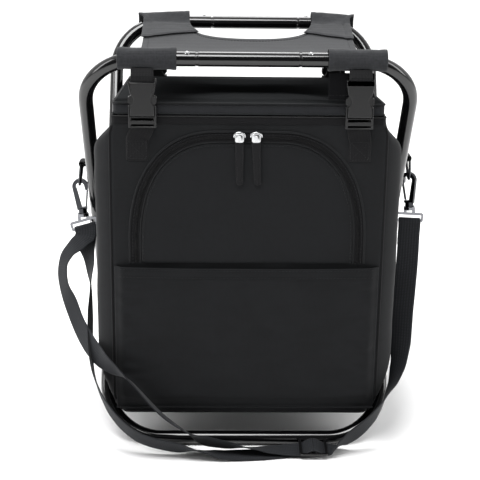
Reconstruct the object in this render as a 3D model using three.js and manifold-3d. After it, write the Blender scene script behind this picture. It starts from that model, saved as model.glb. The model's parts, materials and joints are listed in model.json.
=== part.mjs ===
// A folding stool with a cooler bag hung inside its crossed tube frame.
// Millimetres, +Z up, +X to the right and -Y towards the person who looks at the pocket side.
// The origin is on the floor, under the middle of the whole part with its strap.
import * as THREE from 'three';
import { mergeVertices } from 'three/addons/utils/BufferGeometryUtils.js';
import Module from 'manifold-3d';

const wasm = await Module();
wasm.setup();

// Driving sizes, in millimetres.

const CLEAR = 0.3; // gap that neighbours keep where one rests on another
const OVERRUN = 5; // how far a cutting tool runs past what it cuts
const STAND_BACK = 18; // from the middle of the footprint back to the pivot line
const STAND_ASIDE = 4; // and from there to the middle of the frame

const FRAME = {
  height: 430, // floor to the top of the rails
  depth: 276, // between the middles of the front and rear rails
  width: 350, // over the outer hoop
  tube: 15, // across the tube
  wall: 1.2,
  bend: 60, // radius of the corner bends, at the tube's middle
  hoopGap: 1.5, // between the legs of the two hoops
};

const JOINING = {
  length: 105, // the middle tube between the two notches
  spigot: 20, // how far its reduced ends reach into the hoop
  spigotWall: 1,
  bore: 0.3, // running gap of the spigot in the hoop
  notch: 0.6, // depth of the groove at the seam
  notchRun: 1.2,
  frontShift: -1, // middle of the front joining tube, off the middle of the frame
  rearShift: 14,
  rivet: 3, // rivet shank
  rivetHead: 5,
  rivetRise: 1,
  rivetInset: 9, // rivet to the end of the hoop's tube
};

const PIVOT = { shank: 6, head: 12, headRise: 2, hole: 0.25 };

const SEAT = {
  frontLeft: -132, // outer ends of the sleeves on the rails
  frontRight: 137,
  frontGapLeft: -73, // inner ends of the sleeves
  frontGapRight: 78,
  rearLeft: -127,
  rearRight: 134,
  rearGapLeft: -65,
  rearGapRight: 81,
  cloth: 2.2, // doubled cloth of a sleeve
  panelLeft: -118,
  panelRight: 126,
  panelCloth: 2,
  sag: 16,
  rise: 3, // where the panel leaves the sleeve, above the rail's middle
  scoop: 33,
  seam: 1.4, // how far the panel's edge is sewn into the cloth of the sleeves
  flapLeft: 79,
  flapRight: 125,
  flapFootDrop: 47, // the flap's foot and top, below the top of the frame
  flapTopDrop: 19.2,
  flapOut: 141.8, // back of the flap, in front of the pivot line
  flapCloth: 1.1,
};

const BAG = {
  halfWidth: 138, // at the waist, between the legs
  bulge: 20, // how far the sides swell out in front of and behind the legs
  legRoom: 16, // from a leg's middle to where the swelling starts
  swellRun: 24, // how far it takes to swell out
  front: -141,
  rear: 130,
  bottom: 38,
  rimFrontDrop: 64, // from the top of the frame down to the rim at the front
  rimRearDrop: 82,
  corner: 10,
  cloth: 1.6,
  foam: 5,
  liner: 0.8,
  board: 2.4,
  lidEdge: 12,
  lidDrop: 3,
  lidHalfWidth: 138,
  lidCrown: 2,
  tape: 9,
  tapeThick: 0.9,
  lidSliderY: 60,
  lidSliderThick: 3,
  rimRoom: 24, // the sides stay straight this far below the rim
  swellTop: 60, // how far it takes to swell out below that
  swellFoot: 50,
  tuck: 6, // the sides draw in at the bottom, clear of the bends
  tuckRun: 22,
};

const POCKET = {
  halfWidth: 121,
  foot: 210,
  springRise: 22, // from the foot up to where the arch leaves its straight sides
  topDrop: 17, // from the bag's rim down to the top of the arch
  flat: 31, // half of the flat run at the top of the arch
  tape: 11,
  tapeThick: 1.1,
  door: 2.6,
  slipHalfWidth: 139,
  slipFoot: 46,
  slipTop: 207,
  slipDepth: 7.2,
  slipCloth: 1.4,
  slipRim: 4,
  slider: 9,
  sliderTall: 9,
  sliderThick: 4,
  sliderLeftX: -9.5,
  sliderRightX: 7.5,
  pull: 9.5,
  pullTip: 7,
  pullLong: 44,
  pullThick: 1.8,
};

const HANGER = {
  web: 23,
  webThick: 1.6,
  leftX: -107,
  rightX: 110.5,
  patchLeftX: -113,
  patchRightX: 113,
  footDrop: 11, // from the bag's rim down to the underside of the front buckles
  rearDrop: 18, // the rear buckles hang this much lower
  standOff: 7, // middle of the buckle in front of the bag
  patchDrop: 12, // from there down to the sewn patch
  patchLong: 24,
  frontTopOut: 145.2, // where the upper webbing meets the sleeve
  frontTopDrop: 17.7, // and how far below the top of the frame
  rearTopOut: 135.5,
  rearTopDrop: 27.4,
  wrap: 2.7, // half of the space between the two layers round the loop bar
  wrapFoot: 46.2,
  wrapTop: 51,
  plugOut: 4.2, // middle of the webbing behind the plug
  plugTop: 9,
  plugFoot: -5,
};

const BUCKLE = {
  halfWidth: 14,
  base: 11, // height of the plug's ladder
  rail: 1.7,
  railTop: 22,
  thick: 7.5,
  plugThick: 6,
  bodyHalf: 12,
  bodyFoot: 11.6,
  waistFoot: 22,
  waistHalf: 8.6,
  waistTop: 34,
  bodyTop: 45,
  skin: 1.5,
  barFoot: 3.6,
  barTop: 7.2,
  slotTop: 10,
  sill: 1.4,
  loopTop: 49.5,
  loopBar: 2.2,
  loopBarThick: 3,
  loopSlot: 12.6, // half the width of the slot for the webbing
  prong: 2,
  prongTop: 33,
  prongInner: 5.2,
  padInner: 12.3,
  padOuter: 14.2,
  padFoot: 24.8,
  padTop: 31.2,
  padThick: 6.6,
  padRound: 0.8,
};

const HOOK = {
  y: -22, // the hooks hang in front of the crossing legs
  tabOut: 182,
  tab: 20,
  tabThick: 1.8,
  tabNeck: 9, // from the tab's eye in to where its two layers meet
  ringWire: 3,
  ring: 22,
  ringTall: 25.5,
  outer: 8.9,
  wire: 4.2,
  spine: 5.2,
  thick: 4.6,
  nose: 9,
  baseFoot: 31.7,
  baseTall: 2.8,
  baseHalf: 5.6,
  gateWire: 1.8,
  gateInset: 0.6,
  barrel: 9.5,
  barrelFoot: 35.5,
  collar: 12.5,
  collarTall: 3.6,
  yokeLeg: 3.4,
  yokeHalf: 6.4,
  yokeFoot: 44.6,
  loopTop: 43.4,
  loop: 31,
  loopTall: 10.4,
  loopUpper: 2.6,
  loopLower: 2.4,
  loopEnd: 2.3,
  loopThick: 2.4,
  loopRound: 2,
};

// The two sides hang differently. Angles are in degrees.
const HOOK_SIDES = [
  { name: 'left', sign: -1, tabRise: 72, ringLean: 6.8, drop: 1.2, lean: -4.3, turn: 0, tilt: -12 },
  { name: 'right', sign: 1, tabRise: 81, ringLean: 4.5, drop: 2.4, lean: -4, turn: 145, tilt: 7 },
];

const STRAP = {
  width: 25,
  thick: 1.5,
  sliderLong: 30, // along the strap
  sliderWide: 31, // across it
  sliderThick: 2.6,
  sliderEnd: 2.6,
  sliderRail: 2.6,
  sliderBar: 4,
  sliderRound: 3,
  sliderTilt: 8, // degrees
  sliderX: 73.5,
  sliderY: -162.5,
  sliderZ: 8,
};

const SIDES = 12; // facets round a tube
const BEND_STEPS = 5;

// Worked-out places that several pieces share.

const railZ = FRAME.height - FRAME.tube / 2;
const footZ = FRAME.tube / 2;
const pivotZ = FRAME.height / 2;
const halfDepth = FRAME.depth / 2;
const legTilt = Math.atan2(FRAME.depth, FRAME.height - FRAME.tube);
const legHalf = Math.hypot(FRAME.depth, FRAME.height - FRAME.tube) / 2;
const outerX = (FRAME.width - FRAME.tube) / 2;
const innerX = outerX - FRAME.tube - FRAME.hoopGap;
const sleeveInner = FRAME.tube / 2 + CLEAR;
const sleeveOuter = sleeveInner + SEAT.cloth;
const rimFront = FRAME.height - BAG.rimFrontDrop;
const rimRear = FRAME.height - BAG.rimRearDrop;
const pocketTop = rimFront - POCKET.topDrop;
const pocketSpring = POCKET.foot + POCKET.springRise;
const hangerFoot = rimFront - HANGER.footDrop;
const patchTopZ = hangerFoot - HANGER.patchDrop;

const SIDE_NAMES = ['left', 'right'];

const FINISHES = {
  tube: { color: 0x111214, roughness: 0.22, metalness: 0.6 },
  rivet: { color: 0xc9cccf, roughness: 0.25, metalness: 1 },
  seat: { color: 0x55575a, roughness: 0.9, metalness: 0 },
  bag: { color: 0x2c2d30, roughness: 0.9, metalness: 0 },
  foam: { color: 0xd8d9d6, roughness: 0.95, metalness: 0 },
  liner: { color: 0xb9bdc2, roughness: 0.45, metalness: 0 },
  board: { color: 0x222326, roughness: 0.6, metalness: 0 },
  webbing: { color: 0x3a3b3e, roughness: 0.85, metalness: 0 },
  buckle: { color: 0x1c1d1f, roughness: 0.45, metalness: 0 },
  chrome: { color: 0xd6d8da, roughness: 0.15, metalness: 1 },
  nickel: { color: 0x6e7074, roughness: 0.3, metalness: 1 },
  zip: { color: 0x1b1b1d, roughness: 0.7, metalness: 0 },
};

const part = new THREE.Group();
const stool = new THREE.Group();
stool.position.set(STAND_ASIDE, STAND_BACK, 0);
part.add(stool);

function addPiece(name, geometry, finish, parent = stool) {
  const mesh = new THREE.Mesh(geometry, new THREE.MeshStandardMaterial(FINISHES[finish]));
  mesh.name = name;
  parent.add(mesh);
  return mesh;
}

// Solids: joining and cutting, and the general forms that the pieces are made of.

function welded(geometry) {
  const bare = geometry.clone();
  for (const attribute of ['normal', 'uv']) {
    bare.deleteAttribute(attribute);
  }
  return mergeVertices(bare);
}

function toSolid(geometry) {
  const bare = welded(geometry);
  return new wasm.Manifold(new wasm.Mesh({
    numProp: 3,
    vertProperties: new Float32Array(bare.attributes.position.array),
    triVerts: new Uint32Array(bare.index.array),
  }));
}

function toGeometry(solid) {
  const { vertProperties, triVerts } = solid.getMesh();
  const geometry = new THREE.BufferGeometry();
  geometry.setAttribute('position', new THREE.BufferAttribute(new Float32Array(vertProperties), 3));
  geometry.setIndex(new THREE.BufferAttribute(new Uint32Array(triVerts), 1));
  geometry.computeVertexNormals();
  return geometry;
}

function cut(geometry, ...tools) {
  return toGeometry(tools.reduce((solid, tool) => solid.subtract(toSolid(tool)), toSolid(geometry)));
}

function fuse(geometry, ...others) {
  return toGeometry(others.reduce((solid, other) => solid.add(toSolid(other)), toSolid(geometry)));
}

function box(x0, x1, y0, y1, z0, z1) {
  const geometry = new THREE.BoxGeometry(x1 - x0, y1 - y0, z1 - z0);
  return geometry.translate((x0 + x1) / 2, (y0 + y1) / 2, (z0 + z1) / 2);
}

// A cylinder along X, from one end to the other, with a flat facet turned down.
function barX(radius, x0, x1, sides = SIDES) {
  const geometry = new THREE.CylinderGeometry(radius, radius, x1 - x0, sides);
  return geometry.rotateY(Math.PI / sides).rotateZ(Math.PI / 2).translate((x0 + x1) / 2, 0, 0);
}

// An outline in X and Z, given a thickness along Y from y0 to y1.
function plate(shape, y0, y1, curveSegments = 8) {
  const geometry = new THREE.ExtrudeGeometry(shape, { depth: y1 - y0, bevelEnabled: false, curveSegments });
  return geometry.rotateX(Math.PI / 2).translate(0, y1, 0);
}

function roundedOutline(x0, x1, z0, z1, radius) {
  const shape = new THREE.Shape();
  shape.moveTo(x0 + radius, z0);
  shape.lineTo(x1 - radius, z0);
  shape.absarc(x1 - radius, z0 + radius, radius, -Math.PI / 2, 0);
  shape.lineTo(x1, z1 - radius);
  shape.absarc(x1 - radius, z1 - radius, radius, 0, Math.PI / 2);
  shape.lineTo(x0 + radius, z1);
  shape.absarc(x0 + radius, z1 - radius, radius, Math.PI / 2, Math.PI);
  shape.lineTo(x0, z0 + radius);
  shape.absarc(x0 + radius, z0 + radius, radius, Math.PI, 1.5 * Math.PI);
  return shape;
}

// Turns a closed mesh so that its faces point out, going by the sign of its volume.
function facingOut(geometry) {
  const place = geometry.attributes.position;
  const index = geometry.index;
  const corners = [new THREE.Vector3(), new THREE.Vector3(), new THREE.Vector3()];
  let volume = 0;
  for (let i = 0; i < index.count; i += 3) {
    corners.forEach((corner, k) => corner.fromBufferAttribute(place, index.getX(i + k)));
    volume += corners[0].dot(corners[1].clone().cross(corners[2]));
  }
  if (volume < 0) {
    for (let i = 0; i < index.count; i += 3) {
      const first = index.getX(i);
      index.setX(i, index.getX(i + 1));
      index.setX(i + 1, first);
    }
  }
  geometry.computeVertexNormals();
  return geometry;
}

// A solid through a row of closed rings, each with as many points, with a fan at either end.
function loft(rings) {
  const count = rings[0].length;
  const points = rings.flat();
  const ends = [rings[0], rings[rings.length - 1]];
  const total = (ring) => ring.reduce((sum, place) => sum.add(place), new THREE.Vector3());
  const middles = ends.map((ring) => total(ring).divideScalar(count));
  const index = [];
  for (let r = 0; r < rings.length - 1; r += 1) {
    for (let i = 0; i < count; i += 1) {
      const a = r * count + i;
      const b = r * count + ((i + 1) % count);
      index.push(a, b, a + count, b, b + count, a + count);
    }
  }
  const last = (rings.length - 1) * count;
  for (let i = 0; i < count; i += 1) {
    const next = (i + 1) % count;
    index.push(next, i, points.length);
    index.push(last + i, last + next, points.length + 1);
  }
  const geometry = new THREE.BufferGeometry().setFromPoints([...points, ...middles]);
  geometry.setIndex(index);
  return facingOut(geometry);
}

// A thin solid whose two faces are given by at(u, v, side), with side 0 and 1.
function sheet(at, columns, rows) {
  const points = [];
  const index = [];
  const stride = rows + 1;
  const face = (columns + 1) * stride;
  for (const side of [0, 1]) {
    for (let i = 0; i <= columns; i += 1) {
      for (let j = 0; j <= rows; j += 1) {
        points.push(at(i / columns, j / rows, side));
      }
    }
  }
  const quad = (a, b, c, d) => index.push(a, b, c, a, c, d);
  for (let i = 0; i < columns; i += 1) {
    for (let j = 0; j < rows; j += 1) {
      const a = i * stride + j;
      quad(a, a + stride, a + stride + 1, a + 1);
      quad(face + a, face + a + 1, face + a + stride + 1, face + a + stride);
    }
    const a = i * stride;
    quad(a, face + a, face + a + stride, a + stride);
    const b = i * stride + rows;
    quad(b, b + stride, face + b + stride, face + b);
  }
  for (let j = 0; j < rows; j += 1) {
    quad(j, j + 1, face + j + 1, face + j);
    const b = columns * stride + j;
    quad(b, face + b, face + b + 1, b + 1);
  }
  const geometry = new THREE.BufferGeometry().setFromPoints(points);
  geometry.setIndex(index);
  return facingOut(geometry);
}

// A path given by its stations, so that a straight run takes one step and a bend takes several.
class StationPath extends THREE.Curve {
  constructor(points, tangents) {
    super();
    this.points = points;
    this.tangents = tangents;
  }

  getPoint(t, target = new THREE.Vector3()) {
    const place = t * (this.points.length - 1);
    const i = Math.min(Math.floor(place), this.points.length - 2);
    return target.copy(this.points[i]).lerp(this.points[i + 1], place - i);
  }

  getPointAt(t, target) {
    return this.getPoint(t, target);
  }

  getTangentAt(t, target = new THREE.Vector3()) {
    return target.copy(this.tangents[Math.round(t * (this.points.length - 1))]);
  }
}

// Frame.

// One hoop lies in its own plane: x across, s up along the legs, with the pivot line at zero.
// Its stations run clockwise from the right end of the joint, round the hoop, to the left end.
function hoopStations(halfWidth, startX, endX) {
  const points = [new THREE.Vector3(startX, legHalf, 0)];
  const tangents = [new THREE.Vector3(1, 0, 0)];
  const inset = halfWidth - FRAME.bend;
  const reach = legHalf - FRAME.bend;
  const bends = [[inset, reach], [inset, -reach], [-inset, -reach], [-inset, reach]];
  bends.forEach(([x, s], corner) => {
    for (let step = 0; step <= BEND_STEPS; step += 1) {
      const angle = Math.PI / 2 - (corner + step / BEND_STEPS) * (Math.PI / 2);
      points.push(new THREE.Vector3(x + FRAME.bend * Math.cos(angle), s + FRAME.bend * Math.sin(angle), 0));
      tangents.push(new THREE.Vector3(Math.sin(angle), -Math.cos(angle), 0));
    }
  });
  points.push(new THREE.Vector3(endX, legHalf, 0));
  tangents.push(new THREE.Vector3(1, 0, 0));
  return [points, tangents];
}

// The part of the top rail and its bend between two places across the frame, with its
// stations where the hoop has its own, so that the two keep the same gap all the way.
function railStations(halfWidth, fromX, toX) {
  const straight = halfWidth - FRAME.bend;
  const side = Math.sign(toX + fromX);
  const near = Math.min(Math.abs(fromX), Math.abs(toX));
  const far = Math.max(Math.abs(fromX), Math.abs(toX));
  const points = [new THREE.Vector3(side * near, legHalf, 0)];
  const tangents = [new THREE.Vector3(side, 0, 0)];
  const spot = (step) => {
    const angle = (step / BEND_STEPS) * (Math.PI / 2);
    const x = straight + FRAME.bend * Math.sin(angle);
    const point = new THREE.Vector3(side * x, legHalf - FRAME.bend * (1 - Math.cos(angle)), 0);
    return [point, new THREE.Vector3(side * Math.cos(angle), -Math.sin(angle), 0)];
  };
  let step = 0;
  while (straight + FRAME.bend * Math.sin((step / BEND_STEPS) * (Math.PI / 2)) < far) {
    const [point, tangent] = spot(step);
    points.push(point);
    tangents.push(tangent);
    step += 1;
  }
  const [point, tangent] = spot(step);
  const last = points[points.length - 1];
  const share = (far - Math.abs(last.x)) / (Math.abs(point.x) - Math.abs(last.x));
  points.push(last.clone().lerp(point, share));
  tangents.push(tangents[tangents.length - 1].clone().lerp(tangent, share).normalize());
  return [points, tangents];
}

// A tube along a hoop's stations, with its facets turned so that one lies flat on the floor.
function tubeAlong([points, tangents], outer, inner, lean) {
  const facet = Math.PI / SIDES;
  const start = Math.PI / 2 + facet + lean;
  const shape = new THREE.Shape();
  shape.absarc(0, 0, outer / Math.cos(facet), start, start + 2 * Math.PI);
  const hole = new THREE.Path();
  hole.absarc(0, 0, inner / Math.cos(facet), start, start + 2 * Math.PI);
  shape.holes.push(hole);
  return new THREE.ExtrudeGeometry(shape, {
    steps: points.length - 1,
    extrudePath: new StationPath(points, tangents),
    bevelEnabled: false,
    curveSegments: SIDES / 2,
  });
}

// Sets what was drawn in a hoop's plane into the frame. The outer hoop's top is at the front.
function intoFrame(geometry, frontTop) {
  const turn = frontTop ? Math.PI / 2 + legTilt : Math.PI / 2 - legTilt;
  return geometry.rotateX(turn).translate(0, 0, pivotZ);
}

function railShift(frontTop) {
  return frontTop ? JOINING.frontShift : JOINING.rearShift;
}

// A round-headed rivet through the top wall of the rail, leaning towards the outside of the stool.
function joiningRivet(x, frontTop, shank, head) {
  const inner = FRAME.tube / 2 - FRAME.wall - JOINING.bore - JOINING.spigotWall;
  const seat = FRAME.tube / 2 + JOINING.rivetRise / 4;
  const profile = [
    new THREE.Vector2(0, inner),
    new THREE.Vector2(shank / 2, inner),
    new THREE.Vector2(shank / 2, seat),
  ];
  if (head > 0) {
    profile.push(new THREE.Vector2(head / 2, seat));
    profile.push(new THREE.Vector2(head / 3, seat + JOINING.rivetRise * 0.75));
    profile.push(new THREE.Vector2(0, seat + JOINING.rivetRise));
  } else {
    profile.push(new THREE.Vector2(shank / 2, seat + OVERRUN));
    profile.push(new THREE.Vector2(0, seat + OVERRUN));
    profile[0].y = inner - OVERRUN / 4;
    profile[1].y = inner - OVERRUN / 4;
  }
  const lean = frontTop ? Math.PI / 6 : -Math.PI / 6;
  const geometry = new THREE.LatheGeometry(profile, SIDES);
  return geometry.rotateX(Math.PI / 2 + lean).translate(x, frontTop ? -halfDepth : halfDepth, railZ);
}

function rivetHoles(frontTop) {
  const across = JOINING.rivet + 2 * CLEAR;
  return rivetPlaces(frontTop).map((x) => joiningRivet(x, frontTop, across, 0));
}

function rivetPlaces(frontTop) {
  const reach = JOINING.length / 2 + JOINING.rivetInset;
  return [-1, 1].map((side) => railShift(frontTop) + side * reach);
}

function hoopTube(frontTop) {
  const halfWidth = frontTop ? outerX : innerX;
  const shift = railShift(frontTop);
  const end = JOINING.length / 2 + CLEAR;
  const lean = frontTop ? legTilt : -legTilt;
  const stations = hoopStations(halfWidth, shift + end, shift - end);
  const tube = intoFrame(tubeAlong(stations, FRAME.tube / 2, FRAME.tube / 2 - FRAME.wall, lean), frontTop);
  const hole = PIVOT.shank / 2 + PIVOT.hole;
  const pivots = [-1, 1].map((side) => {
    const middle = side * halfWidth;
    return barX(hole, middle - FRAME.tube, middle + FRAME.tube).translate(0, 0, pivotZ);
  });
  return cut(tube, ...pivots, ...rivetHoles(frontTop));
}

function joiningTube(frontTop) {
  const half = JOINING.length / 2;
  const radius = FRAME.tube / 2;
  const spigot = radius - FRAME.wall - JOINING.bore;
  const bore = spigot - JOINING.spigotWall;
  const half0 = half + JOINING.spigot;
  const outline = [
    [bore, -half0], [spigot, -half0], [spigot, -half], [radius - JOINING.notch, -half],
    [radius - JOINING.notch, JOINING.notchRun - half], [radius, JOINING.notchRun * 2 - half],
    [radius, half - JOINING.notchRun * 2], [radius - JOINING.notch, half - JOINING.notchRun],
    [radius - JOINING.notch, half], [spigot, half], [spigot, half0], [bore, half0], [bore, -half0],
  ].map(([r, x]) => new THREE.Vector2(r, x));
  const y = frontTop ? -halfDepth : halfDepth;
  const tube = new THREE.LatheGeometry(outline, SIDES);
  tube.rotateZ(-Math.PI / 2).translate(railShift(frontTop), y, railZ);
  return cut(tube, ...rivetHoles(frontTop));
}

function pivotRivet(side) {
  const inside = innerX - FRAME.tube / 2 - CLEAR;
  const outside = outerX + FRAME.tube / 2 + CLEAR;
  const profile = [
    [0, inside - PIVOT.headRise], [PIVOT.head / 3, inside - PIVOT.headRise],
    [PIVOT.head / 2, inside - PIVOT.headRise / 3],
    [PIVOT.head / 2, inside], [PIVOT.shank / 2, inside],
    [PIVOT.shank / 2, outside], [PIVOT.head / 2, outside],
    [PIVOT.head / 2, outside + PIVOT.headRise / 3], [PIVOT.head / 3, outside + PIVOT.headRise],
    [0, outside + PIVOT.headRise],
  ].map(([r, x]) => new THREE.Vector2(r, x));
  const rivet = new THREE.LatheGeometry(profile, SIDES);
  return rivet.rotateZ(-side * Math.PI / 2).translate(0, 0, pivotZ);
}

function addFrame() {
  for (const [frontTop, hoop, end] of [[true, 'outer', 'front'], [false, 'inner', 'rear']]) {
    addPiece(`${hoop}_hoop`, hoopTube(frontTop), 'tube');
    addPiece(`${end}_joining_tube`, joiningTube(frontTop), 'tube');
    rivetPlaces(frontTop).forEach((x, i) => {
      const rivet = joiningRivet(x, frontTop, JOINING.rivet, JOINING.rivetHead);
      addPiece(`${end}_joint_rivet_${SIDE_NAMES[i]}`, rivet, 'rivet');
    });
  }
  addPiece('pivot_rivet_left', pivotRivet(-1), 'rivet');
  addPiece('pivot_rivet_right', pivotRivet(1), 'rivet');
}

// Seat.

function sleeve(frontTop, fromX, toX) {
  const lean = frontTop ? -legTilt : legTilt;
  const stations = railStations(frontTop ? outerX : innerX, fromX, toX);
  const mirrored = fromX + toX < 0 ? -lean : lean;
  return intoFrame(tubeAlong(stations, sleeveOuter, sleeveInner, mirrored), frontTop);
}

// How far the scooped edge draws back between the sleeves, at a place across the seat.
function scoopAt(x, left, right) {
  const share = Math.abs(x - (left + right) / 2) / ((right - left) / 2);
  return share < 1 ? SEAT.scoop * Math.cbrt(1 - share ** 3) : 0;
}

function seatPanel() {
  const edge = halfDepth - sleeveOuter + SEAT.seam;
  const edgeZ = railZ + SEAT.rise;
  const at = (u, v, side) => {
    const x = SEAT.panelLeft + (SEAT.panelRight - SEAT.panelLeft) * u;
    const front = -edge + scoopAt(x, SEAT.frontGapLeft, SEAT.frontGapRight);
    const rear = edge - scoopAt(x, SEAT.rearGapLeft, SEAT.rearGapRight);
    const y = front + (rear - front) * v;
    const z = edgeZ - SEAT.sag * (1 - (y / edge) ** 2) - SEAT.panelCloth * side;
    return new THREE.Vector3(x, y, z);
  };
  return sheet(at, 24, 6);
}

function seatFlap() {
  return box(SEAT.flapLeft, SEAT.flapRight, -SEAT.flapOut - SEAT.flapCloth, -SEAT.flapOut,
    FRAME.height - SEAT.flapFootDrop, FRAME.height - SEAT.flapTopDrop);
}

// The seat is one sewn piece: a panel with a hemmed sleeve at each of its corners.
function addSeat() {
  const sleeves = [
    sleeve(true, SEAT.frontLeft, SEAT.frontGapLeft),
    sleeve(true, SEAT.frontGapRight, SEAT.frontRight),
    sleeve(false, SEAT.rearLeft, SEAT.rearGapLeft),
    sleeve(false, SEAT.rearGapRight, SEAT.rearRight),
  ];
  addPiece('seat', fuse(seatPanel(), ...sleeves), 'seat');
  addPiece('hanger_flap', seatFlap(), 'bag');
}

// Bag.

// Height of the rim at a place from front to rear.
function rimZ(y) {
  const share = (y - BAG.front) / (BAG.rear - BAG.front);
  return rimFront + (rimRear - rimFront) * share;
}

function smooth(share) {
  const held = Math.min(Math.max(share, 0), 1);
  return held * held * (3 - 2 * held);
}

const FACE_SHARE = 0.22; // of the swelling is left at the front and rear seams

// How far the side swells out, in front of and behind the legs.
function swellAt(y, z) {
  const leg = Math.abs(z - pivotZ) * Math.tan(legTilt) + BAG.legRoom;
  const face = y < 0 ? -BAG.front : BAG.rear;
  const fromLeg = smooth((Math.abs(y) - leg) / BAG.swellRun);
  const fromFace = smooth((face - Math.abs(y)) / BAG.swellRun + FACE_SHARE);
  const fromRim = smooth((rimZ(y) - BAG.rimRoom - z) / BAG.swellTop);
  const fromFoot = smooth((z - BAG.bottom) / BAG.swellFoot);
  return BAG.bulge * Math.min(fromLeg, fromFace, fromRim, fromFoot);
}

// Shares of the depth and of the height at which the swollen shell has its points.
const SIDE_STEPS = 18;
const HEIGHT_STEPS = 13;
const PLAIN_SHARES = [0, 1];
const PLAIN_HEIGHT_SHARES = [0, 1 / HEIGHT_STEPS, 1];

function evenShares(steps) {
  return Array.from({ length: steps + 1 }, (unused, i) => i / steps);
}

// A ring round the bag at a share of its height, drawn in by an inset.
function bagRing(heightShare, sideShares, inset, bottom, above) {
  const front = BAG.front + inset;
  const rear = BAG.rear - inset;
  const swollen = sideShares.length > PLAIN_SHARES.length;
  const side = (share, sign) => {
    const y = front + (rear - front) * share;
    const z = bottom + (rimZ(y) + above - bottom) * heightShare;
    const swell = swollen ? swellAt(y, z) : 0;
    const tuck = BAG.tuck * (1 - smooth((z - bottom) / BAG.tuckRun));
    return new THREE.Vector3(sign * (BAG.halfWidth - inset + swell - tuck), y, z);
  };
  const right = sideShares.map((share) => side(share, 1));
  const left = sideShares.map((share) => side(share, -1)).reverse();
  return [...right, ...left];
}

const RIM_OVERRUN_SHARE = 1.1;

// An open box of one thickness, drawn in from the bag's outside.
function bagLayer(sideShares, heightShares, inset, thickness, floor, above) {
  const outer = loft(heightShares.map((share) => bagRing(share, sideShares, inset, floor, above)));
  const low = floor + thickness;
  const within = inset + thickness;
  const inner = [...heightShares, RIM_OVERRUN_SHARE].map((share) => (
    bagRing(share, sideShares, within, low, above)));
  return cut(outer, loft(inner));
}

const foamInset = BAG.cloth + CLEAR;
const boardInset = foamInset + BAG.foam + CLEAR;
const linerFloor = BAG.bottom + boardInset + BAG.board + CLEAR;

function baseBoard() {
  const low = BAG.bottom + boardInset;
  const half = BAG.halfWidth - boardInset - BAG.corner;
  return box(-half, half, BAG.front + boardInset + BAG.corner, BAG.rear - boardInset - BAG.corner,
    low, low + BAG.board);
}

function lid() {
  const half = BAG.lidHalfWidth - CLEAR;
  const columns = 8;
  const rows = 8;
  const at = (u, v, side) => {
    const x = half * (2 * u - 1);
    const y = BAG.front + (BAG.rear - BAG.front) * v;
    const low = rimZ(y) + CLEAR;
    const rounded = 1 - Math.max(Math.abs(2 * u - 1), Math.abs(2 * v - 1)) ** 6;
    const edge = BAG.lidEdge + BAG.lidCrown * rounded - BAG.lidDrop * v;
    return new THREE.Vector3(x, y, low + edge * (1 - side));
  };
  return sheet(at, columns, rows);
}

const ZIP_SHARES = [0, 0.08, 0.2, 0.5, 0.8, 1];

// The zip's tape lies round the rim below the lid, along both sides and across the front.
function lidZip() {
  const front = BAG.front - CLEAR;
  const reach = BAG.rear - BAG.corner * 2;
  const out = (y) => BAG.halfWidth + CLEAR + swellAt(Math.max(y, BAG.front), rimZ(y) - CLEAR);
  const path = [];
  const runs = [...ZIP_SHARES].reverse().map((share) => front + (reach - front) * share);
  runs.forEach((y) => path.push([-out(y), y, -1, y === front ? -1 : 0]));
  [...runs].reverse().forEach((y) => path.push([out(y), y, 1, y === front ? -1 : 0]));
  return sheet((u, v, face) => {
    const [x, y, outX, outY] = path[Math.round(u * (path.length - 1))];
    const z = rimZ(y) - CLEAR - BAG.tape * (1 - v);
    return new THREE.Vector3(x + outX * BAG.tapeThick * face, y + outY * BAG.tapeThick * face, z);
  }, path.length - 1, 1);
}

// The zip's slider rides on the tape at the right side, near the rear end.
function lidSlider() {
  const y = BAG.lidSliderY;
  const half = POCKET.slider / 2;
  const x = BAG.halfWidth + 2 * CLEAR + BAG.tapeThick;
  const low = rimZ(y) - BAG.tape + CLEAR;
  return box(x, x + BAG.lidSliderThick, y - half, y + half, low, low + POCKET.sliderTall - 1.5 * CLEAR);
}

function addBag() {
  const shell = [evenShares(SIDE_STEPS), evenShares(HEIGHT_STEPS)];
  const plain = [PLAIN_SHARES, PLAIN_HEIGHT_SHARES];
  addPiece('bag_shell', bagLayer(...shell, 0, BAG.cloth, BAG.bottom, 0), 'bag');
  addPiece('foam_lining', bagLayer(...plain, foamInset, BAG.foam, BAG.bottom + foamInset, -CLEAR), 'foam');
  addPiece('bag_liner', bagLayer(...plain, boardInset, BAG.liner, linerFloor, -CLEAR), 'liner');
  addPiece('base_board', baseBoard(), 'board');
  addPiece('lid', lid(), 'bag');
  addPiece('lid_zip', lidZip(), 'zip');
  addPiece('lid_slider', lidSlider(), 'nickel');
}

// Pockets on the front of the bag.

// The arch of the zipped pocket, grown or drawn in by an offset.
function archOutline(offset, foot = POCKET.foot) {
  const half = POCKET.halfWidth + offset;
  const top = pocketTop + offset;
  const shape = new THREE.Shape();
  shape.moveTo(half, foot);
  shape.lineTo(half, pocketSpring);
  shape.absellipse(POCKET.flat, pocketSpring, half - POCKET.flat, top - pocketSpring, 0, Math.PI / 2);
  shape.absellipse(-POCKET.flat, pocketSpring, half - POCKET.flat, top - pocketSpring, Math.PI / 2, Math.PI);
  shape.lineTo(-half, foot);
  return shape;
}

function pocketZip() {
  const back = BAG.front - CLEAR;
  const band = plate(archOutline(0), back - POCKET.tapeThick, back);
  const hollow = archOutline(-POCKET.tape, POCKET.foot - OVERRUN);
  return cut(band, plate(hollow, back - OVERRUN, back + OVERRUN));
}

function pocketDoor() {
  const back = BAG.front - CLEAR;
  return plate(archOutline(-POCKET.tape - CLEAR), back - POCKET.door, back);
}

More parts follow.
